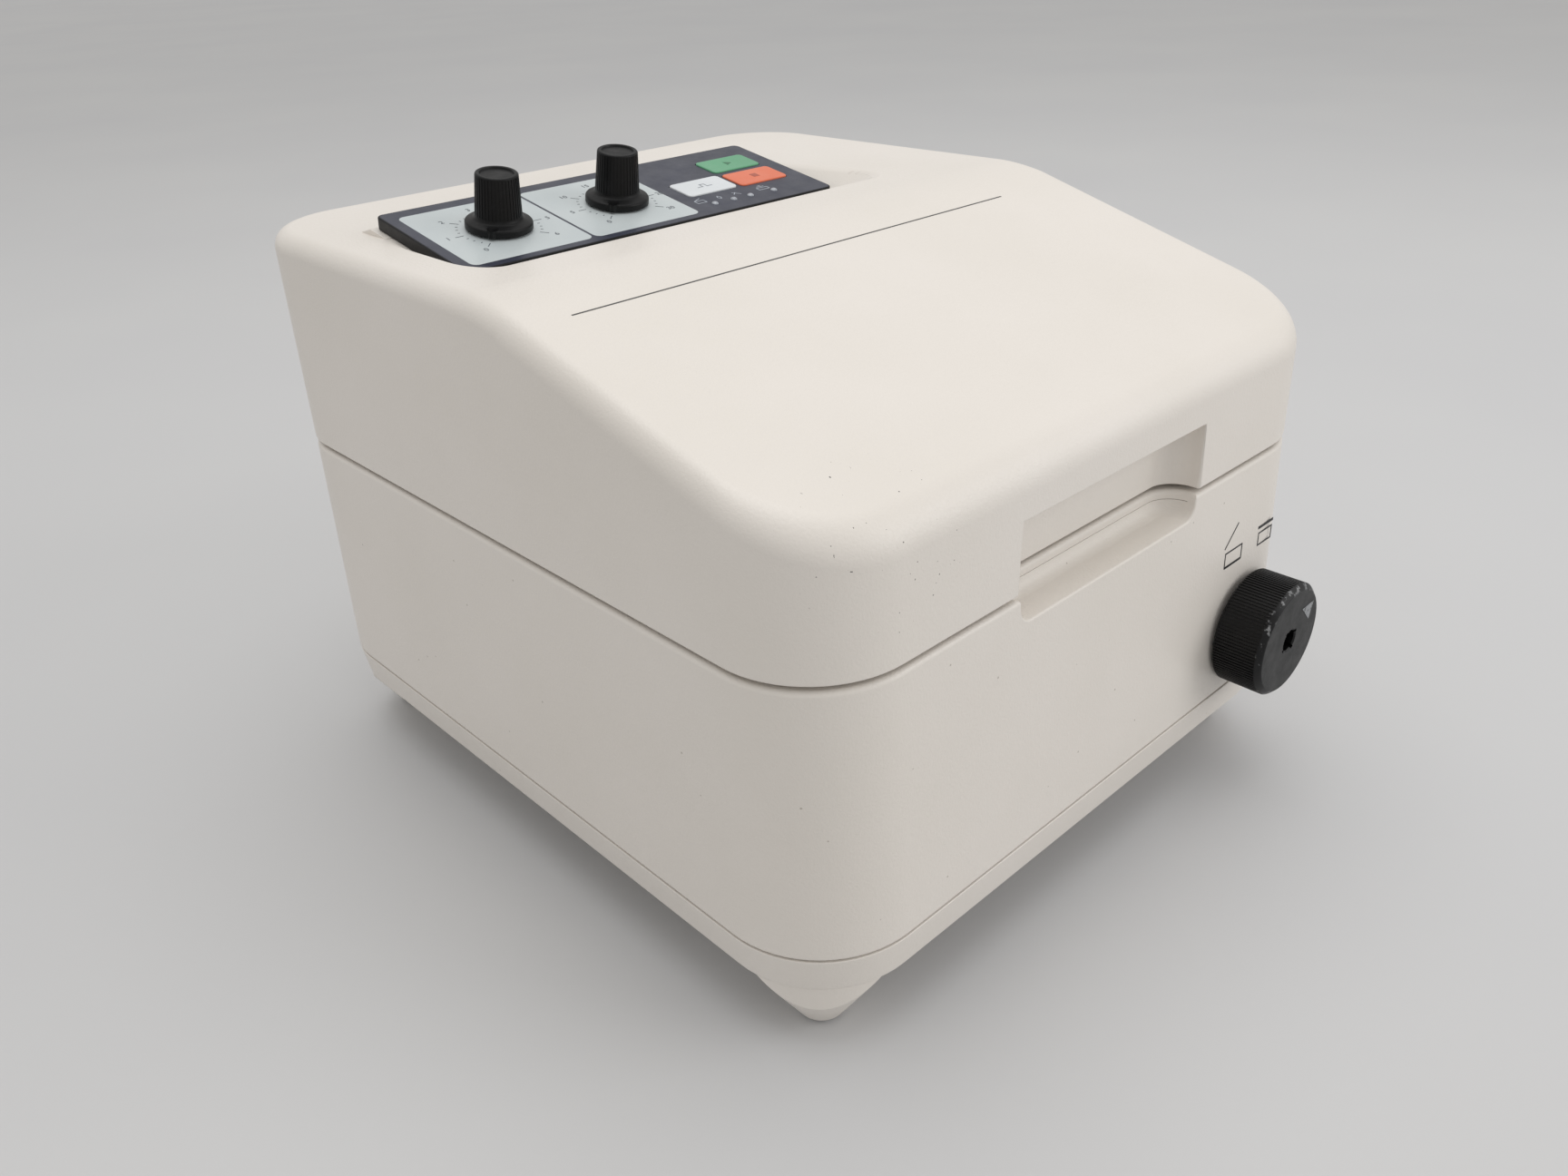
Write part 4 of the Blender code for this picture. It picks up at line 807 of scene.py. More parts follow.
# Black phenolic: satin, with a greyed, rubbed rim whose chips show the paler resin.
def worn_phenolic(name, centre, rim, face_y):
    material, shader, place = finish(
        name, {"Roughness": 0.36, "IOR": 1.55, "Specular IOR Level": 0.22}
    )
    local = add(material, "ShaderNodeVectorMath", {0: place, 1: centre}, operation="SUBTRACT")
    flat = add(material, "ShaderNodeVectorMath", {0: local, 1: (1, 0, 1)}, operation="MULTIPLY")
    radius = add(material, "ShaderNodeVectorMath", {0: flat}, "Value", operation="LENGTH")
    depth_in = add(material, "ShaderNodeSeparateXYZ", {0: local}, "Y")
    near_rim = add(
        material, "ShaderNodeMapRange", {"Value": radius, 1: rim - 2.6 * MM, 2: rim - 1.2 * MM}
    )
    near_face = add(
        material, "ShaderNodeMapRange", {"Value": depth_in, 1: face_y + 3 * MM, 2: face_y + 1.2 * MM}
    )
    edge = add(material, "ShaderNodeMath", {0: near_rim, 1: near_face}, operation="MULTIPLY")
    chip = add(
        material, "ShaderNodeMapRange",
        {
            "Value": add(
                material, "ShaderNodeTexNoise",
                {"Vector": place, "Scale": 1 / (2.6 * MM), "Detail": 4, "Roughness": 0.6},
            ),
            1: 0.56, 2: 0.62,
        },
    )
    chip = add(material, "ShaderNodeMath", {0: chip, 1: edge}, operation="MULTIPLY")
    face = add(
        material, "ShaderNodeMapRange", {"Value": depth_in, 1: face_y + 0.5 * MM, 2: face_y + 0.2 * MM}
    )
    base = add(
        material, "ShaderNodeMix", {0: face, 6: linear("#080809"), 7: linear("#131415")}, 2,
        data_type="RGBA",
    )
    rub, base = mottled(material, place, 5 * MM, 5, 0.5, 0.9, base, "#1d1e20", 0.5, 0.65)
    tone = add(material, "ShaderNodeMix", {0: chip, 6: base, 7: linear("#7d7e7f")}, 2, data_type="RGBA")
    feed(
        material, shader, Base_Color=tone, Roughness=uneven(material, rub, 0.3, 0.75, 0.34, 0.5),
        Normal=grained(material, place, 0.5 * MM, 0.02 * MM),
    )
    return material


lock_centre = (LOCK_X, lock_high.y, LOCK_Z)
lock_phenolic = worn_phenolic("phenolic_black_worn", lock_centre, 20.8 * MM, -LOCK_DEPTH)
dressed(grip, lock_phenolic, "lock_knob", ["lock_knob"])


# Screen-printed ink with worn gaps, for signs that fingers have rubbed.
def rubbed_ink(name, shade, ground, gaps):
    material, shader, place = finish(name, {"Roughness": 0.5, "IOR": 1.5})
    loss, tone = mottled(
        material, place, 1.6 * MM, 4, gaps, gaps + 0.06, shade, ground, roughness=0.65
    )
    feed(
        material, shader, Base_Color=tone,
        Normal=add(material, "ShaderNodeBump", {"Height": loss, "Distance": 0.02 * MM}),
    )
    return material


def plate(name, outline, thick):
    """Thin flat piece with this outline in millimetres, from height 0 up."""
    only()
    bpy.ops.mesh.primitive_circle_add(vertices=len(outline), radius=1, fill_type="NGON")
    item = bpy.context.object
    item.name = item.data.name = name
    for point, (x, y) in zip(item.data.vertices, outline):
        point.co = (x * MM, y * MM, 0)
    pick(item, "FACE", lambda face: True)
    bpy.ops.mesh.extrude_region_move(TRANSFORM_OT_translate={"value": (0, 0, thick)})
    bpy.ops.mesh.select_all(action="SELECT")
    bpy.ops.mesh.normals_make_consistent(inside=False)
    only(item)
    return item


arrow = plate("lock_arrow", [(13.9, 10.3), (6, 10), (12.2, 3.7)], 0.1 * MM)
settled(arrow, LOCK_FACE @ Matrix.Translation((0, 0, LOCK_DEPTH - 0.02 * MM)))
dressed(arrow, rubbed_ink("lock_arrow_ink", "#8e9093", "#303133", 0.56), "lock_knob")
refined("lock_shaft", "crank_shaft", drawn_steel, "lock_knob", 0.3 * MM)
refined("latch_slide", "hook_slide", zinc_steel, "latch_slide", 0.3 * MM)
refined("latch_bracket", "slide_guide", zinc_steel, "base", 0.3 * MM)
refined("lid_striker", "striker_strap", zinc_steel, "lid", 0.35 * MM)

# Lock signs. Two small line drawings are printed above the knob: a box with its lid up on
# the left, where the knob unlocks, and a shut box on the right.

black_ink = rubbed_ink("screen_ink_black", "#151516", "#3c3b38", 0.76)
WALL_LEAN = math.atan2(FLARE, DECK_Z - HOUSING_FOOT_Z)


def printed_lines(name, strokes, place, material, body, width):
    """One thin piece made of straight strokes, each from (x, y) to (x, y) in millimetres."""
    drawn = None
    for x0, y0, x1, y1 in strokes:
        length = math.hypot(x1 - x0, y1 - y0) * MM
        bar = block("stroke", (-length / 2, -width / 2, -0.03 * MM), (length / 2, width / 2, 0.06 * MM))
        turn = Matrix.Rotation(math.atan2(y1 - y0, x1 - x0), 4, "Z")
        settled(bar, Matrix.Translation(((x0 + x1) / 2 * MM, (y0 + y1) / 2 * MM, 0)) @ turn)
        drawn = bar if drawn is None else cut(drawn, bar, "UNION")
    drawn.name = drawn.data.name = name
    settled(drawn, place)
    return dressed(drawn, material, body)


def box_strokes(left, low, wide, tall, line):
    """Outline of a box, its corners closed by half a line's width."""
    right, top, half = left + wide, low + tall, line / 2
    return [
        (left - half, low, right + half, low), (right, low - half, right, top + half),
        (left - half, top, right + half, top), (left, low - half, left, top + half),
    ]


PARTING_Z = DECK_Z + 0.8 * MM
SIGN_Z = PARTING_Z - 33 * MM
sign_y = FRONT_Y - FLARE * (DECK_Z - SIGN_Z) / (DECK_Z - HOUSING_FOOT_Z)
sign_place = Matrix.Translation((0, sign_y, SIGN_Z)) @ Matrix.Rotation(
    math.radians(90) - WALL_LEAN, 4, "X"
)
printed_lines(
    "sign_open",
    box_strokes(68.5, -2.6, 11, 5.2, 0.55) + [(68.5, -2.9, 79.5, -2.9), (67.6, 4.6, 75.4, 12)],
    sign_place, black_ink, "base", 0.6 * MM,
)
printed_lines(
    "sign_shut", box_strokes(91, -2.4, 9, 4.6, 0.55) + [(90.2, 4.2, 100.6, 4.2), (90.2, 4.7, 100.6, 4.7)],
    sign_place, black_ink, "base", 0.6 * MM,
)

# Lid cover. The upper moulding, in the same grained plastic: a flat back, a slope down to
# the front, a soft ridge between them, a trough for the panel and a finger pocket in front.

LID_LOW_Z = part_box("lid_shell")[0].z
LID_TOP_Z = PARTING_Z + 76 * MM
RIDGE_Y = CENTRE_Y - 14.7 * MM
SLOPE = 0.285
SIDE_ROUND, FRONT_ROUND = 6.5 * MM, 13 * MM
LID_WALL = 3.5 * MM
POCKET_TOP_Z = PARTING_Z + 22.5 * MM
SCREW_PLACES = [(x * MM, CENTRE_Y + y * MM) for x in (-116.5, 116.5) for y in (-75, 104)]
KNOBS_U, KNOB_V = (-73, -24.7), 26


def lid_blank(name, inset, low_z):
    """Solid with the lid's outline, set in all round, its top edges rounded over."""
    top = LID_TOP_Z - inset
    item = block(
        name, (inset - HALF_WIDTH, FRONT_Y + inset, low_z), (HALF_WIDTH - inset, BACK_Y - inset, top)
    )
    pick(item, "VERT", lambda point: point.co.z > top - MM)
    bpy.ops.transform.resize(value=(124 / 125, 141 / 142, 1), center_override=(0, CENTRE_Y, top))
    pick(item, "VERT", lambda point: True)
    bpy.ops.mesh.bisect(
        plane_co=(0, RIDGE_Y, top), plane_no=Vector((0, -SLOPE, 1)).normalized(),
        use_fill=True, clear_outer=True,
    )
    rounded(item, lambda edge: run(edge).x > 0.9 and abs(middle(edge).y - RIDGE_Y) < MM
            and middle(edge).z > top - MM, 11 * MM, 8)
    rounded(item, lambda edge: run(edge).z > 0.9, CORNER_RADIUS - inset, CORNER_STEPS)
    pick(item, "EDGE", lambda edge: True)
    shape = bmesh.from_edit_mesh(item.data)
    weights = shape.edges.layers.float.new("bevel_weight_edge")
    for edge in shape.edges:
        side, up = sorted(edge.link_faces, key=lambda face: face.normal.z)
        if abs(side.normal.z) < 0.2 and up.normal.z > 0.8:
            radius = SIDE_ROUND + (FRONT_ROUND - SIDE_ROUND) * max(0, -side.normal.y) - inset
            edge[weights] = radius * math.tan(edge.calc_face_angle() / 2) / FRONT_ROUND
    bmesh.update_edit_mesh(item.data)
    return modified(
        item, "BEVEL", width=FRONT_ROUND, segments=8, limit_method="WEIGHT", use_clamp_overlap=False
    )


lid = lid_blank("lid_moulding", 0, LID_LOW_Z)
pocket = block(
    "pocket", (-RECESS_HALF, FRONT_Y - 12 * MM, LID_LOW_Z - 9 * MM),
    (RECESS_HALF, RECESS_Y, POCKET_TOP_Z),
)
rounded(pocket, lambda edge: run(edge).z > 0.9 and middle(edge).y > FRONT_Y, RECESS_CORNER, 10)
rounded(pocket, lambda edge: middle(edge).z > POCKET_TOP_Z - 0.5 * MM
        and middle(edge).y > FRONT_Y - 2 * MM, MM, 3)
cut(lid, pocket)


def at_pocket_mouth(edge):
    return middle(edge).y < FRONT_Y + 1.5 * MM and abs(middle(edge).x) < RECESS_HALF + 0.5 * MM


rounded(lid, lambda edge: at_pocket_mouth(edge) and run(edge).z > 0.9
        and abs(abs(middle(edge).x) - RECESS_HALF) < MM, 1.2 * MM, 5)
rounded(lid, lambda edge: on_rim(edge, LID_LOW_Z), 0.8 * MM, 3)
rounded(lid, lambda edge: at_pocket_mouth(edge) and abs(middle(edge).z - POCKET_TOP_Z) < 0.3 * MM
        and edge.calc_face_angle() > 0.8, 0.8 * MM, 3)

panel_low, panel_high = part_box("panel_frame")
PANEL_TILT = math.radians(10.4)
PANEL_THICK = 4 * MM
PANEL = Matrix.Translation(
    (0, panel_low.y, panel_low.z + PANEL_THICK * math.cos(PANEL_TILT))
) @ Matrix.Rotation(PANEL_TILT, 4, "X")
TROUGH_FRONT, TROUGH_BACK = CENTRE_Y + 27 * MM, CENTRE_Y + 95 * MM
TROUGH_MOUTH_Y = CENTRE_Y - 28.6 * MM
TROUGH_Z = PARTING_Z + 67.4 * MM
TROUGH_LEFT, TROUGH_RIGHT = -104.5 * MM, 60 * MM
OVER_LID_Z = 225 * MM


def floor_at(y):
    """Height of the trough's floor, which runs parallel to the panel."""
    return TROUGH_Z + math.tan(PANEL_TILT) * (y - TROUGH_FRONT)


# Seven corners of the tool, each as its sides (left, front, bottom) and where it goes. The
# front wall leans to the front and the right wall to the right, both more at the corner.
trough = block("trough", (TROUGH_LEFT, TROUGH_FRONT, 180 * MM), (TROUGH_RIGHT, TROUGH_BACK, OVER_LID_Z))
for left, front, bottom, spot in (
    (True, True, True, (TROUGH_LEFT, TROUGH_FRONT, TROUGH_Z)),
    (True, True, False, (TROUGH_LEFT, TROUGH_MOUTH_Y, OVER_LID_Z)),
    (True, False, True, (TROUGH_LEFT, TROUGH_BACK, floor_at(TROUGH_BACK))),
    (False, True, True, (TROUGH_RIGHT, TROUGH_FRONT, TROUGH_Z)),
    (False, True, False, (115.5 * MM, TROUGH_MOUTH_Y, OVER_LID_Z)),
    (False, False, True, (TROUGH_RIGHT, TROUGH_BACK, floor_at(TROUGH_BACK))),
    (False, False, False, (95.2 * MM, TROUGH_BACK, OVER_LID_Z)),
):
    def is_corner(point):
        return (
            (point.co.x < 0) == left
            and (point.co.y < CENTRE_Y + 60 * MM) == front
            and (point.co.z < 210 * MM) == bottom
        )

    pick(trough, "VERT", is_corner)
    chosen = [point.co.copy() for point in bmesh.from_edit_mesh(trough.data).verts if point.select]
    bpy.ops.transform.translate(value=Vector(spot) - chosen[0])
rounded(trough, lambda edge: middle(edge).x < -100 * MM and abs(run(edge).x) < 0.1
        and middle(edge).y < TROUGH_FRONT and run(edge).z > 0.3, 9 * MM, 8)
rounded(trough, lambda edge: middle(edge).x > 62 * MM and middle(edge).z > 195 * MM
        and run(edge).z > 0.2 and middle(edge).y < CENTRE_Y + 20 * MM, 10 * MM, 8)
rounded(trough, lambda edge: middle(edge).z < 199 * MM and middle(edge).y < TROUGH_BACK - MM
        and any(face.normal.z < -0.9 for face in edge.link_faces), 3.5 * MM, 5)
cut(lid, trough)
rounded(
    lid,
    lambda edge: len(edge.link_faces) == 2
    and all(abs(point.co.z - LID_TOP_Z) < 0.02 * MM for point in edge.verts)
    and 5 * MM < middle(edge).y - CENTRE_Y < 76 * MM
    and -106 * MM < middle(edge).x < 76 * MM
    and edge.calc_face_angle() > 0.15,
    2.4 * MM,
    6,
)

cavity = lid_blank("cavity", LID_WALL, LID_LOW_Z - 5 * MM)
tray_front, tray_back = CENTRE_Y + 8 * MM, CENTRE_Y + 78 * MM
tray = block("tray", (-108 * MM, tray_front, 180 * MM), (74 * MM, tray_back, 210 * MM))
for end in (tray_front, tray_back):
    pick(tray, "VERT", lambda point: point.co.z < 190 * MM and abs(point.co.y - end) < MM)
    bpy.ops.transform.translate(value=(0, 0, floor_at(end) - 3.2 * MM - 180 * MM))
cut(cavity, tray)
cut(cavity, block("pocket_back", (-50 * MM, FRONT_Y - 2 * MM, LID_LOW_Z - 9 * MM),
                  (50 * MM, RECESS_Y + 4 * MM, POCKET_TOP_Z + 4 * MM)))
for place in SCREW_PLACES:
    cut(cavity, rod("post", (*place, PARTING_Z + 18 * MM), 5 * MM, 20 * MM))
cut(lid, cavity)
for u in KNOBS_U:
    bore = rod("shaft_bore", (0, 0, 0), 4.2 * MM, 20 * MM)
    settled(bore, PANEL @ Matrix.Translation((u * MM, KNOB_V * MM, -5 * MM)))
    cut(lid, bore)
for place in SCREW_PLACES:
    cut(lid, rod("screw_bore", (*place, PARTING_Z + 10 * MM), 1.8 * MM, 20 * MM))
tidied(lid)
dressed(lid, lid_abs, "lid", ["lid_shell"])

# Panel rest. A low wedge behind the trough carries the panel's rear edge.
rest_front, rest_back, rest_lip = CENTRE_Y + 74.2 * MM, CENTRE_Y + 92 * MM, CENTRE_Y + 84.5 * MM
rest = block(
    "panel_rest", (-103.5 * MM, rest_front, LID_TOP_Z), (59.5 * MM, rest_back, LID_TOP_Z + MM)
)
pick(rest, "VERT", lambda point: point.co.z > LID_TOP_Z + 0.5 * MM and point.co.y > rest_lip)
bpy.ops.transform.translate(value=(0, rest_lip - rest_back, floor_at(rest_lip) - LID_TOP_Z - MM))
pick(rest, "VERT", lambda point: point.co.z > LID_TOP_Z + 0.5 * MM and point.co.y < rest_lip - MM)
bpy.ops.transform.translate(value=(0, 0, floor_at(rest_front) - LID_TOP_Z - MM))
rounded(rest, lambda edge: run(edge).x < 0.9 and abs(middle(edge).x) > 59 * MM
        and middle(edge).y > rest_lip, 0.6 * MM, 3)
dressed(tidied(rest), lid_abs, "lid")

# Printed line. One thin dark rule runs across the slope below the ridge.
rule_y = CENTRE_Y - 32 * MM
rule_place = Matrix.Translation((0, rule_y, LID_TOP_Z + SLOPE * (rule_y - RIDGE_Y)))
printed_lines(
    "slope_rule", [(-105, 0, 83, 0)], rule_place @ Matrix.Rotation(math.atan(SLOPE), 4, "X"),
    rubbed_ink("screen_ink_grey", "#4b4a49", "#6d6b68", 0.7), "lid", 0.55 * MM,
)

# Lid underside. A flat moulded liner closes the cover, held by four screws, with a rubber
# seal in a ring that presses on the bowl's flange when the lid is shut.

refined("lid_liner", "liner_plate", housing_abs, "lid", 0.5 * MM, 3)
seal_profile = [(99, 4.1)] + arc(102.4, 2.9, 2.6, 200, 330, 8) + [(105, 4.1), (99, 4.1)]
seal_profile = [(r, max(z, 1.35)) for r, z in seal_profile]
seal = turned("seal_ring", seal_profile, Matrix.Translation((0, CENTRE_Y, PARTING_Z)), 128)
dressed(tidied(seal, 40), moulded_rubber("seal_rubber", "#242425"), "lid", ["lid_seal"])
for number in range(1, 5):
    low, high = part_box(f"liner_screw_{number}")
    under = Matrix.Translation(((low.x + high.x) / 2, (low.y + high.y) / 2, low.z + 1.5 * MM))
    head = screw_head(f"liner_fixing_{number}", under @ Matrix.Rotation(math.pi, 4, "X"), 2.8, "lid")
    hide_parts(f"liner_screw_{number}")

# Control panel. A flat moulded slab, faced with a printed film in dark blue-grey, lies in
# the lid's trough, tilted to the front. Shafts, keys and lamps come up through it.

panel_left, panel_right = panel_low.x / MM, panel_high.x / MM
PANEL_DEPTH = 55.8
KEYS = (
    ("start_key", "green", 26.5, 50.0, 32.4, 45.0),
    ("stop_key", "orange", 26.5, 50.0, 16.8, 29.4),
    ("pulse_key", "white", 1.5, 24.8, 17.2, 30.2),
)
LAMPS_U = (5.6, 14.6, 22.8, 34.5)
LAMP_V = 8.2


def slab(name, u0, u1, v0, v1, low, high, corner, edge_round):
    """Flat piece in the panel's own frame, in millimetres, with round corners and soft top edges."""
    item = block(name, (u0 * MM, v0 * MM, low * MM), (u1 * MM, v1 * MM, high * MM))
    rounded(item, lambda edge: run(edge).z > 0.9, corner * MM, 6)
    if edge_round:
        rounded(item, lambda edge: on_rim(edge, high * MM), edge_round * MM, 3)
    return item


def pierced(item, gap, lamp_radius):
    """Cuts the keys' pockets and the lamps' and shafts' holes, and lays the piece in the panel."""
    for _, _, u0, u1, v0, v1 in KEYS:
        cut(item, slab("key_pocket", u0 - gap, u1 + gap, v0 - gap, v1 + gap, -3.3, 2, 1.9, 0))
    for u in LAMPS_U:
        cut(item, rod("lamp_hole", (u * MM, LAMP_V * MM, 0), lamp_radius * MM, 9 * MM, steps=32))
    for u in KNOBS_U:
        cut(item, rod("shaft_hole", (u * MM, KNOB_V * MM, 0), 4.2 * MM, 12 * MM))
    return tidied(settled(item, PANEL))


face = slab("panel_slab", panel_left, panel_right, 0, PANEL_DEPTH, -4, 0, 2.5, 0.45)
pierced(face, 0.25, 1.5)


# Polyester overlay film, printed on its back: a satin face with fine orange peel.
def overlay_film(name, shade, faded, roughness=0.36):
    material, shader, place = finish(name, {"Roughness": roughness, "IOR": 1.57})
    smear = add(
        material, "ShaderNodeTexNoise",
        {"Vector": place, "Scale": 1 / (9 * MM), "Detail": 4, "Roughness": 0.6},
    )
    feed(
        material, shader,
        Base_Color=mottled(material, place, 22 * MM, 4, 0.35, 0.75, shade, faded)[1],
        Roughness=uneven(material, smear, 0.3, 0.7, roughness * 0.85, roughness * 1.3),
        Normal=grained(material, place, 0.7 * MM, 0.015 * MM),
    )
    return material


film_navy = overlay_film("overlay_film_navy", "#25293a", "#2c3042")
film_pale = overlay_film("overlay_film_pale", "#c3cacb", "#bcc4c6")
film_ink = overlay_film("overlay_ink_grey", "#4a5058", "#575d64")
dressed(face, moulded_black("abs_slab_black", "#0c0c0e", "#1d1d20", 0.35), "lid", ["panel_frame"])
sheet = slab("panel_film", panel_left + 0.6, panel_right - 0.6, 0.6, PANEL_DEPTH - 0.6, -0.4, 0.04, 2.2, 0)
dressed(pierced(sheet, 0.2, 1.45), film_navy, "lid")
for number, (u0, u1) in enumerate(((-96.9, -51.0), (-50.0, -5.0)), 1):
    field = slab(f"dial_field_{number}", u0, u1, 3.5, 50, -0.3, 0.08, 2.6, 0)
    cut(field, rod("shaft_hole", (KNOBS_U[number - 1] * MM, KNOB_V * MM, 0), 4.2 * MM, 12 * MM))
    settled(field, PANEL)
    dressed(tidied(field), film_pale, "lid")

# Dial scales. Ticks and plain numbers are printed round each knob, over three quarters of a
# turn, from the front left round the back to the front right.

for dial, (u, numbers) in enumerate(zip(KNOBS_U, (range(7), range(0, 35, 5))), 1):
    centre = PANEL @ Matrix.Translation((u * MM, KNOB_V * MM, 0.09 * MM))
    strokes = []
    for tick in range(25):
        angle = math.radians(-135 - 270 * tick / 24)
        start, end = 13.4, 16.4 if tick % 4 == 0 else 14.2
        strokes.append((
            start * math.cos(angle), start * math.sin(angle), end * math.cos(angle), end * math.sin(angle)
        ))
    printed_lines(f"dial_ticks_{dial}", strokes, centre, film_ink, "lid", 0.24 * MM)
    for step, value in enumerate(numbers):
        angle = math.radians(-135 - 45 * step)
        at = Matrix.Translation((19 * MM * math.cos(angle), 19 * MM * math.sin(angle), 0.02 * MM))
        number_sign(f"dial_{dial}_number_{step}", str(value), 3.1 * MM, centre @ at, film_ink, "lid")

# Dial knobs. Two moulded black knobs with a pointed skirt are pushed on the shafts. Their
# tapered grips have fine flutes and a cap let in at the top.

knob_plastic = moulded_black("abs_knob_black", "#080809", "#1b1b1d", 0.42)
for label, u in zip(("speed", "time"), KNOBS_U):
    profile = [(0, 17.9), (5.3, 17.9), (5.6, 18.4)] + arc(6.3, 17.8, 0.7, 90, 10, 4)
    profile += [(7.7, 5.2)] + arc(9.1, 5.1, 1.4, 185, 255, 4) + [(10.2, 3.2)]
    profile += arc(10.3, 2.3, 0.8, 70, 0, 4) + [(11.1, 0.8), (10.8, 0.6), (2.8, 0.6), (2.8, 12), (0, 12)]
    knob = turned(f"{label}_dial_knob", profile, None, 120)
    pick(knob, "FACE", lambda face: abs(face.normal.z) < 0.3
         and 6.5 * MM < face.calc_center_median().xy.length
         and 6 * MM < face.calc_center_median().z < 17.5 * MM
         and math.degrees(math.atan2(*face.calc_center_median().xy)) % 9 < 3)
    bpy.ops.mesh.extrude_region_shrink_fatten(TRANSFORM_OT_shrink_fatten={"value": -0.15 * MM})
    nose_outline = [(7.5, -2), (10.8, -1.5), (12.1, -0.5), (12.1, 0.5), (10.8, 1.5), (7.5, 2)]
    nose = plate("nose", nose_outline, 2.3 * MM)
    settled(nose, Matrix.Rotation(math.radians(-135), 4, "Z") @ Matrix.Translation((0, 0, 0.9 * MM)))
    cut(knob, nose, "UNION")
    settled(knob, PANEL @ Matrix.Translation((u * MM, KNOB_V * MM, 0)))
    dressed(tidied(knob, 26), knob_plastic, f"{label}_knob", [f"{label}_knob"])

# Keys. Three film-covered key caps, green, orange and white, with softly domed edges, and a
# plain sign printed on each: a triangle, a square and a short pulse.

KEY_SHADES = {
    "green": ("#5ea27a", "#579a72"), "orange": ("#e2744f", "#db6c48"), "white": ("#dcdfe2", "#d5d9dc"),
}
KEY_INKS = {"green": "#2f6c4a", "orange": "#a8472a", "white": "#8b9096"}
for name, colour, u0, u1, v0, v1 in KEYS:
    cap = slab(f"{name}_cap", u0, u1, v0, v1, -2.6, 0.55, 1.8, 0.5)
    settled(cap, PANEL)
    film = overlay_film(f"overlay_film_{colour}", *KEY_SHADES[colour], 0.33)
    dressed(tidied(cap), film, name, [name])
    centre = PANEL @ Matrix.Translation(((u0 + u1) / 2 * MM, (v0 + v1) / 2 * MM, 0.55 * MM))
    ink = overlay_film(f"overlay_ink_{colour}", KEY_INKS[colour], KEY_INKS[colour])
    if colour == "green":
        outline = [(-1.3, -1.7), (1.8, 0), (-1.3, 1.7)]
    if colour == "orange":
        outline = [(-1.5, -1.5), (1.5, -1.5), (1.5, 1.5), (-1.5, 1.5)]
    if colour == "white":
        printed_lines(
            f"{name}_sign", [(-3.4, -1, -1, -1), (-1, -1.2, -1, 1.4), (-1.2, 1.2, 1.2, 1.2),
                             (1, 1.4, 1, -1.2), (1, -1, 3.4, -1)],
            centre, ink, name, 0.4 * MM,
        )
    else:
        sign = plate(f"{name}_sign", outline, 0.05 * MM)
        settled(sign, centre)
        dressed(sign, ink, name)

# Indicator lamps. Four clear domes stand in the film, unlit, with a small printed sign
# beside each: a lid, a drop, a bar and a cycle.


# Clear acrylic over a dark cup: grey, glossy, slightly milky.
def milky_acrylic(name):
    material, shader, place = finish(
        name, {"Roughness": 0.12, "IOR": 1.49, "Coat Weight": 0.5, "Coat Roughness": 0.05}
    )
    tone = mottled(material, place, 1.2 * MM, 2, 0.3, 0.7, "#a9aeb6", "#8f949c")[1]
    feed(material, shader, Base_Color=tone)
    return material


lens_acrylic = milky_acrylic("acrylic_lens")
for number, u in enumerate(LAMPS_U, 1):
    dome = [(0, -3.6), (1.3, -3.6), (1.3, 0.1)] + arc(0, -0.9, 1.64, 38, 90, 5)
    lens = turned(f"lamp_lens_{number}", dome, PANEL @ Matrix.Translation((u * MM, LAMP_V * MM, 0)), 32)
    dressed(tidied(lens), lens_acrylic, "lid")
    if number == 1:
        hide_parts("indicator_lamps")
LAMP_SIGNS = (
    box_strokes(-5.6, 2.6, 4, 2.2, 0.3) + [(-5.6, 5, -2, 6.6)],
    [(-3.6, 2.6, -2.8, 4), (-2.8, 4, -3.6, 5.4), (-3.6, 5.4, -4.4, 4), (-4.4, 4, -3.6, 2.6)],
    [(-4.6, 5.4, -2, 2.8), (-5, 3.4, -3.4, 5)],
    box_strokes(-5, 2.4, 5, 1.8, 0.3) + [(-4.2, 5.2, -0.6, 5.2), (-3.2, 6, -1.6, 6)],
)
pale_ink = overlay_film("overlay_ink_pale", "#b4bac2", "#a6adb6")
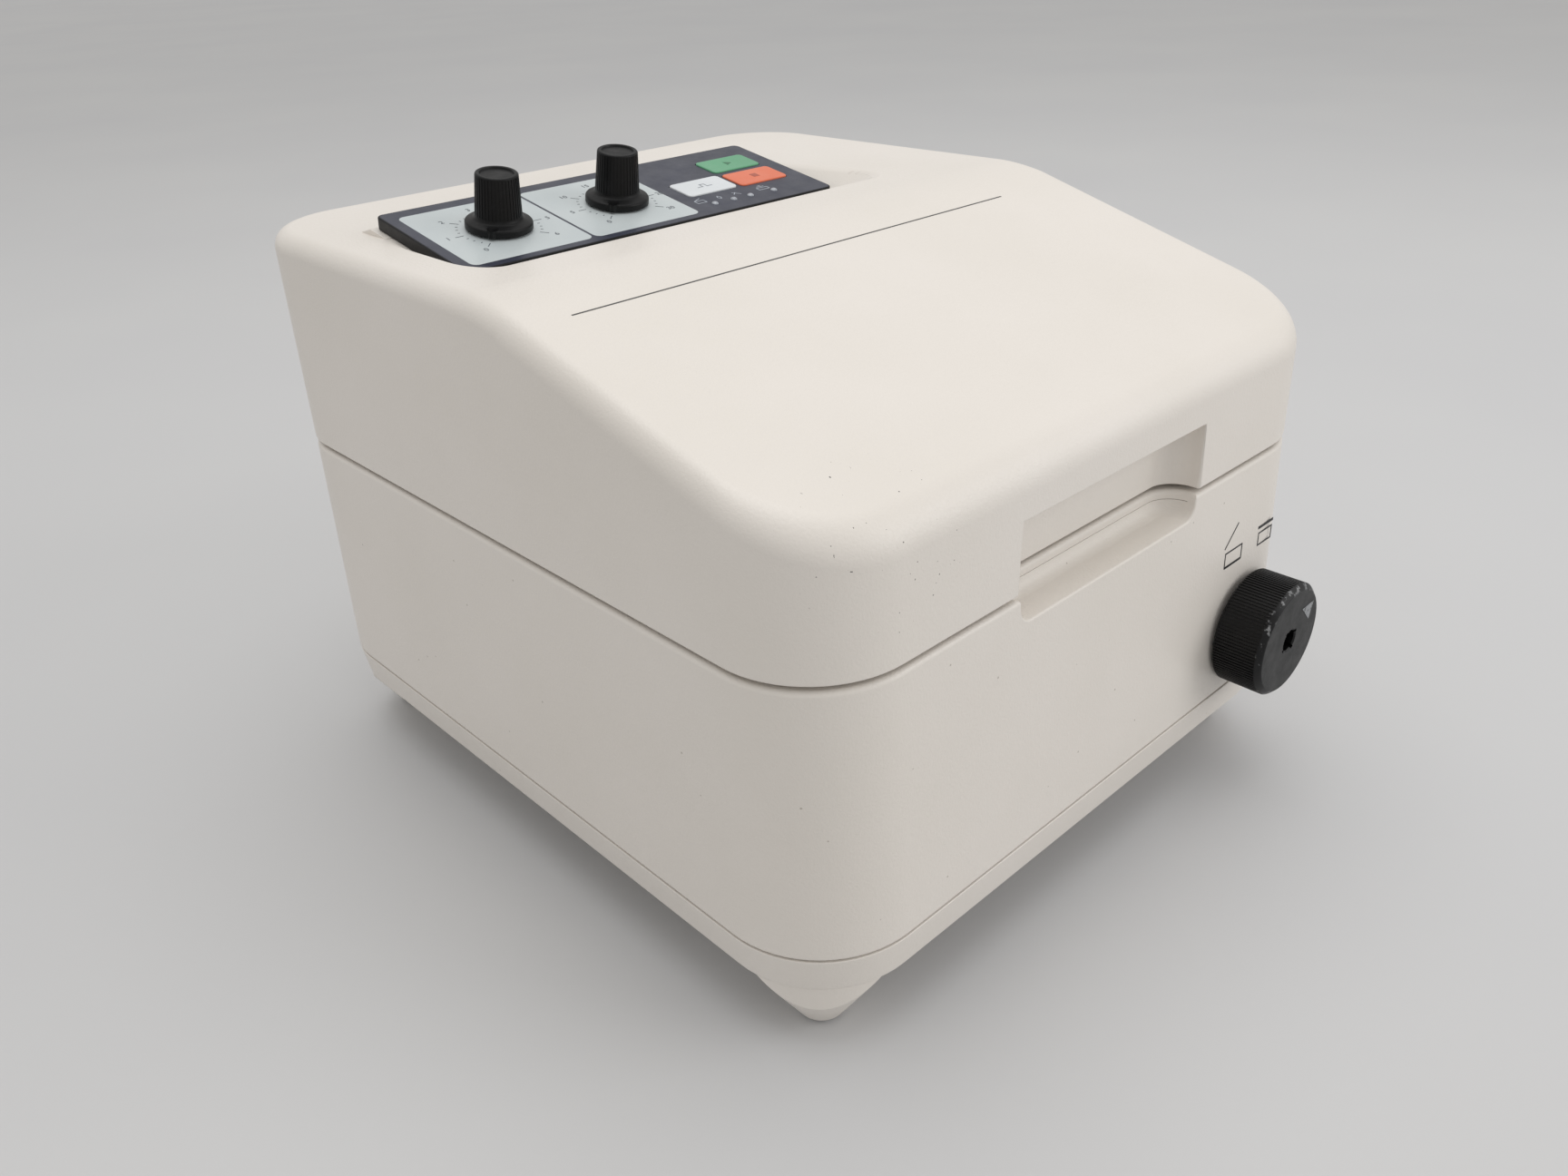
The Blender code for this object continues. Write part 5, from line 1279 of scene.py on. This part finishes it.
for number, (u, strokes) in enumerate(zip(LAMPS_U, LAMP_SIGNS), 1):
    printed_lines(
        f"lamp_sign_{number}", strokes, PANEL @ Matrix.Translation((u * MM, LAMP_V * MM, 0)),
        pale_ink, "lid", 0.3 * MM,
    )

# Floor, lights and camera. A pale bench top under a broad ceiling light, a window-like
# light from the right and front, and a camera above the front left corner.

bpy.ops.object.select_all(action="DESELECT")
bpy.ops.mesh.primitive_plane_add(size=30, location=(0, 0, 0))
bench = bpy.context.object
bench.name = bench.data.name = "bench_top"
bench_laminate, bench_shader, bench_place = finish("bench_laminate", {"Roughness": 0.55})
bench_tone = mottled(bench_laminate, bench_place, 400 * MM, 3, 0.3, 0.7, "#cccccc", "#c8c8c9")[1]
feed(bench_laminate, bench_shader, Base_Color=bench_tone)
bench.data.materials.append(bench_laminate)


def area_light(name, place, toward, size, power):
    lamp = bpy.data.lights.new(name, "AREA")
    lamp.shape = "DISK"
    lamp.size = size
    lamp.energy = power
    item = bpy.data.objects.new(name, lamp)
    bpy.context.scene.collection.objects.link(item)
    item.location = place
    item.rotation_euler = (Vector(toward) - Vector(place)).to_track_quat("-Z", "Y").to_euler()
    return item


area_light("ceiling_light", (0.1, 0.1, 1.7), (0, 0, 0.1), 1.6, 10)
area_light("window_light", (1, -1.4, 0.8), (0, 0, 0.1), 1.2, 7.5)
world = bpy.data.worlds.new("room")
bpy.context.scene.world = world
world.use_nodes = True
world.node_tree.nodes["Background"].inputs["Color"].default_value = (1, 0.99, 0.975, 1)
world.node_tree.nodes["Background"].inputs["Strength"].default_value = 0.66
bpy.context.scene.view_settings.view_transform = "Standard"

eye = bpy.data.cameras.new("eye")
eye.lens = 28.27
eye.sensor_width = 36
camera = bpy.data.objects.new("camera", eye)
bpy.context.scene.collection.objects.link(camera)
right = Vector((0.723558, -0.689154, -0.039126))
down = Vector((-0.359240, -0.327562, -0.873871))
ahead = Vector((0.589415, 0.646352, -0.484581))
spot = Vector((-0.28685, CENTRE_Y - 0.31193, 0.28961))
camera.matrix_world = Matrix(
    [(right[i], -down[i], -ahead[i], spot[i]) for i in range(3)] + [(0, 0, 0, 1)]
)
bpy.context.scene.camera = camera

only()
